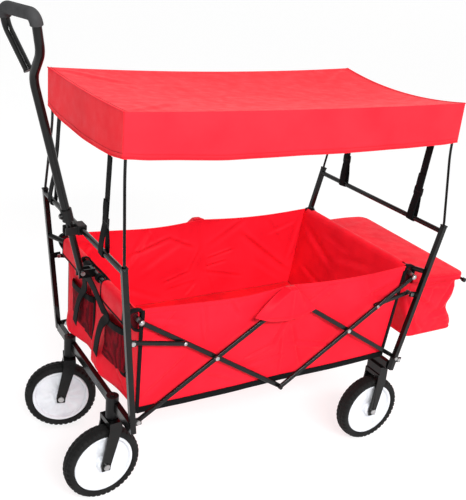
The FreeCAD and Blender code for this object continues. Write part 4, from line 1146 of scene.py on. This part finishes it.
def bag_lid():
    """A crowned lid with rolled-down edges and round rear corners, hinged along its front."""
    front, rear, half, radius = -424.5, -632.0, 239.0, 28.0
    slope = math.tan(math.radians(3.0))

    def outline(s):
        """Round the lid from the front left corner, backwards."""
        length, wide = front - rear - radius, 2 * (half - radius)
        arc = math.pi / 2 * radius
        runs = [length, arc, wide, arc, length]
        at = s * sum(runs)
        if at < runs[0]:
            return front - at, half, 0.0, 1.0
        at -= runs[0]
        if at < arc:
            a = at / radius
            return (rear + radius - radius * math.sin(a), half - radius + radius * math.cos(a),
                    -math.sin(a), math.cos(a))
        at -= arc
        if at < wide:
            return rear, half - radius - at, -1.0, 0.0
        at -= wide
        if at < arc:
            a = at / radius
            return (rear + radius - radius * math.cos(a), -half + radius - radius * math.sin(a),
                    -math.cos(a), -math.sin(a))
        at -= arc
        return rear + radius + at, -half, 0.0, -1.0
    ns, levels = 150, [0.0, 0.15, 0.3, 0.45, 0.6, 0.72, 0.82, 0.9, 0.96, 1.0]

    def height(x, y):
        tilt = mix(7.0, -2.0, (y + half) / (2 * half)) * ease((front - x) / 150)
        base = 511.5 + (x - front) * slope + tilt
        return base + 4.2 * math.sin(math.pi * min(1, max(0, (front - x) / (front - rear)))) \
            * math.cos(math.pi * y / 2 / half) ** 0.5

    def shallower(x):
        """The lip is half as deep beside the hinge."""
        return 1 - 0.5 * (1 - ease((front - x) / 60))
    verts, faces = [], []
    for share in levels:             # from the front middle line outwards
        for i in range(ns + 1):
            x, y, nx, ny = outline(i / ns)
            px, py = mix(front, x, share), y
            edge = ease(min(abs(px - x) if abs(nx) > 0.1 else 99, 99) / 20)
            z = height(px, py)
            z += (0.9 * ripple((px, py, 0), 60, 97) + 0.7 * ripple((px, py, 0), 24, 98)) * edge
            for fold in LID_CREASES:
                z += crease(px, py, fold)
            verts.append((px, py, z - 1.6 * (1 - ease((half - abs(py)) / 10))))
    count = ns + 1
    for j in range(len(levels) - 1):
        for i in range(ns):
            a = j * count + i
            faces.append((a, a + count, a + count + 1, a + 1))
    lip = len(levels)
    for out, down in LIP_ROWS:
        for i in range(ns + 1):
            x, y, nx, ny = outline(i / ns)
            z = height(x, y)
            wobble = 0.9 * ripple((x, y, down * 2), 22, 99) * min(1, down / 8)
            depth = (z - LIP_LOW) / LIP_ROWS[-1][1] * shallower(x)
            verts.append((x + nx * (out + wobble), y + ny * (out + wobble), z - down * depth))
    for k in range(lip - 1, lip + len(LIP_ROWS) - 1):
        for i in range(ns):
            a = k * count + i
            faces.append((a, a + count, a + count + 1, a + 1))
    lid = piece("bag_lid_cover", verts, [f[::-1] for f in faces], "lid", "red_fabric")
    thicken(lid, 1.7)
    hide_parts("bag_lid")
    rim = [(x, y, height(x, y) - 1.0) for x, y, _, _ in (outline(i / 80) for i in range(81))]
    cord_line("bag_lid_piping", rim, 1.7, "lid", 200, 8)
    low = []
    for i in range(121):
        x, y, nx, ny = outline(i / 120)
        z = height(x, y)
        depth = (z - LIP_LOW) * 0.78 * shallower(x)
        low.append(((x + nx * 2.4, y + ny * 2.4, z - depth), (nx, ny, 0)))
    stitches("bag_lid_stitches", [low], "lid")


# ------------------------------------------------------------------ wheels
def revolve(rows, count):
    """Vertices and faces of rings round the Y axis: rows of (radius, y) for each step round."""
    verts, faces = [], []
    ring = len(rows(0))
    for i in range(count):
        turn = 2 * math.pi * i / count
        for radius, y in rows(i):
            verts.append((radius * math.sin(turn), y, radius * math.cos(turn)))
    for i in range(count):
        a, b = i * ring, ((i + 1) % count) * ring
        for k in range(ring):
            m = (k + 1) % ring
            faces.append((a + k, a + m, b + m, b + k))
    return verts, faces


def tyre_rows(i):
    """One slice of the tyre, closed: its bead, side walls and knobbly tread."""
    step = i % 6
    outline = [(78.2, -14), (80, -18.2), (85, -19.8), (90.5, -19.9), (94.8, -19.2), (96.4, -16.6),
               (97.0, -14.0), (98.3, -13.2), (98.9, -8.2), (98.9, -7.2), (99.6, -3.2), (99.7, 0),
               (99.6, 3.2), (98.9, 7.2), (98.9, 8.2), (98.3, 13.2), (97.0, 14.0), (96.4, 16.6),
               (94.8, 19.2), (90.5, 19.9), (85, 19.8), (80, 18.2), (78.2, 14), (78.0, 0)]
    made = []
    for k, (radius, y) in enumerate(outline):
        shift = 3 if y > 0 else 0
        if 5 <= k <= 8 or 15 <= k <= 18:
            if (step + shift) % 6 in (0, 1):
                radius -= 2.6
        elif k in (9, 13, 14):
            radius -= 2.2
        elif 10 <= k <= 12:
            if (step + 2) % 6 == 0 or (k != 11 and (step + shift) % 6 == 4):
                radius -= 2.0
        elif k in (4, 19):
            radius += 0.5 if (step + shift) % 6 > 2 else -0.4
        made.append((radius, y))
    return made


RIM_ROWS = (                       # radius, half width, and 1 where the fan face gives the width
    (78.0, 14, 0), (78.0, 16.6, 0), (76.5, 17.4, 0), (73.0, 17.4, 0), (71.2, 16.4, 0),
    (70.4, 12.5, 0), (68.5, 0, 1), (58, 0, 1), (46, 0, 1), (32, 0, 1), (20.5, 0, 1),
    (18.5, 17, 0), (17, 19.8, 0), (14.5, 21.4, 0), (9.5, 21.6, 0), (8.4, 20.4, 0), (6.0, 20.2, 0))


def rim_mesh():
    """A faceted disc in a smooth outer ring, the same on both sides, with a hub."""
    verts, faces, flat = [], [], []
    count, fans = 96, 12

    def height(radius, i, side):
        """The disc's face: fans that tilt one way and then the other."""
        share = (i % (count // fans)) / (count // fans)
        saw = abs(2 * share - 1) * 2 - 1
        swell = math.sin(math.pi * min(1, max(0, (radius - 19) / 49.5)))
        return side * (10.5 - 1.2 + 3.0 * swell + 1.6 * saw * swell)
    ring = len(RIM_ROWS)
    for side in (-1, 1):
        base = len(verts)
        for i in range(count):
            turn = 2 * math.pi * i / count
            for radius, y, face in RIM_ROWS:
                axial = height(radius, i, side) if face else side * y
                verts.append((radius * math.sin(turn), axial, radius * math.cos(turn)))
        for i in range(count):
            a, b = base + i * ring, base + ((i + 1) % count) * ring
            for k in range(ring - 1):
                quad = (a + k, a + k + 1, b + k + 1, b + k)
                faces.append(quad if side > 0 else quad[::-1])
                flat.append(5 <= k <= 10)
    for i in range(count):           # the barrel under the tyre and the bore
        m = (i + 1) % count
        a, b, c, d = i * ring, m * ring, count * ring + m * ring, count * ring + i * ring
        faces.append((a, b, c, d))
        faces.append((d + ring - 1, c + ring - 1, b + ring - 1, a + ring - 1))
        flat += [False, False]
    return verts, faces, flat


def wheels():
    rim_verts, rim_faces, flat = rim_mesh()
    verts, faces = revolve(tyre_rows, 252)
    for word, centre, heading in (("front_left", (460.95, 161.5, 100), 3.6),
                                  ("front_right", (460.07, -166.6, 100), -16.0),
                                  ("rear_left", (-345.7, 228, 100), 0),
                                  ("rear_right", (-345.7, -228, 100), 0)):
        body = f"wheel_{word}"
        place = Matrix.Translation(Vector(centre)) @ Matrix.Rotation(math.radians(heading), 4, "Z")
        tyre = piece(f"{word}_tread_tyre", [place @ Vector(v) for v in verts], faces, body, "tyre")
        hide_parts(f"{word}_tyre")
        rim = piece(f"{word}_fan_rim", [place @ Vector(v) for v in rim_verts], rim_faces, body,
                    "rim_plastic")
        for polygon, is_flat in zip(rim.data.polygons, flat):
            polygon.use_smooth = not is_flat
        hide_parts(f"{word}_rim")


# ------------------------------------------------------------------ rail ends and brace rivets
BRACE_END_X, BRACE_END_Z, BAR_FACE_Y = (302.1, -284.1), 459.6, 267.7
RAIL_ENDS = (("front", "front_drop", (415.0, 264.0, 532.5), (424.0, 232.0, 543.0)),
             ("rear", "rear_lift", (-397.0, 270.5, 531.8), (-396.0, 236.0, 541.0)))


def turned_faces(ring, count):
    """The faces of a turned piece: its skin, and the caps over its first and last circles."""
    skin = []
    for i in range(count):
        a, b = i * ring, ((i + 1) % count) * ring
        skin += [(a + k, a + k + 1, b + k + 1, b + k) for k in range(ring - 1)]
    first = tuple(i * ring for i in range(count))
    return skin, first, tuple(a + ring - 1 for a in first)


def rail_ends():
    """The steel ends of the rim rails, which come out of the tub at the upper joints."""
    outline = [(0.2, 3.2), (3.6, 2.8), (5.6, 1.4), (6.3, 0.0), (7.4, -0.2), (7.4, -3.4), (6.3, -3.8),
               (6.2, -12.0), (6.2, -34.0), (0.2, -34.0)]
    count = 32
    skin, first, last = turned_faces(len(outline), count)
    for word, sign in SIDES:
        for end, body, outer, inner in RAIL_ENDS:
            tip = Vector((outer[0], sign * outer[1], outer[2]))
            axis = (tip - Vector((inner[0], sign * inner[1], inner[2]))).normalized()
            side = axis.cross(Vector((0, 0, 1))).normalized()
            up = side.cross(axis)
            verts = [tip + axis * out + (side * math.cos(2 * math.pi * i / count)
                                         + up * math.sin(2 * math.pi * i / count)) * r
                     for i in range(count) for r, out in outline]
            piece(f"{end}_rail_end_{word}", verts, skin + [first, last[::-1]], body,
                  "plated_steel")


def brace_rivets():
    """The domed heads where the braces cross the scissor bars."""
    outline = [(0.2, 2.2), (2.4, 2.0), (4.0, 1.3), (4.8, 0.3), (4.8, -0.4)]
    count = 28
    skin, first, last = turned_faces(len(outline), count)
    for word, sign in SIDES:
        for end, x, body in zip(("front", "rear"), BRACE_END_X, ("front_drop", "rear_lift")):
            verts = [(x + r * math.sin(2 * math.pi * i / count), sign * (BAR_FACE_Y + out),
                      BRACE_END_Z + r * math.cos(2 * math.pi * i / count))
                     for i in range(count) for r, out in outline]
            faces = [face[::-sign] for face in skin] + [first[::sign], last[::-sign]]
            piece(f"{end}_brace_rivet_{word}", verts, faces, body, "plated_steel")


# ------------------------------------------------------------------ the whole wagon
make_camera()
make_studio()
dress_frame()
tub_sides()
joint_flaps()
tub_front()
tub_rear()
tub_floor()
floor_mat()
pockets()
front_webbing()
canopy()
canopy_straps()
bag()
bag_lid()
rail_ends()
brace_rivets()
wheels()
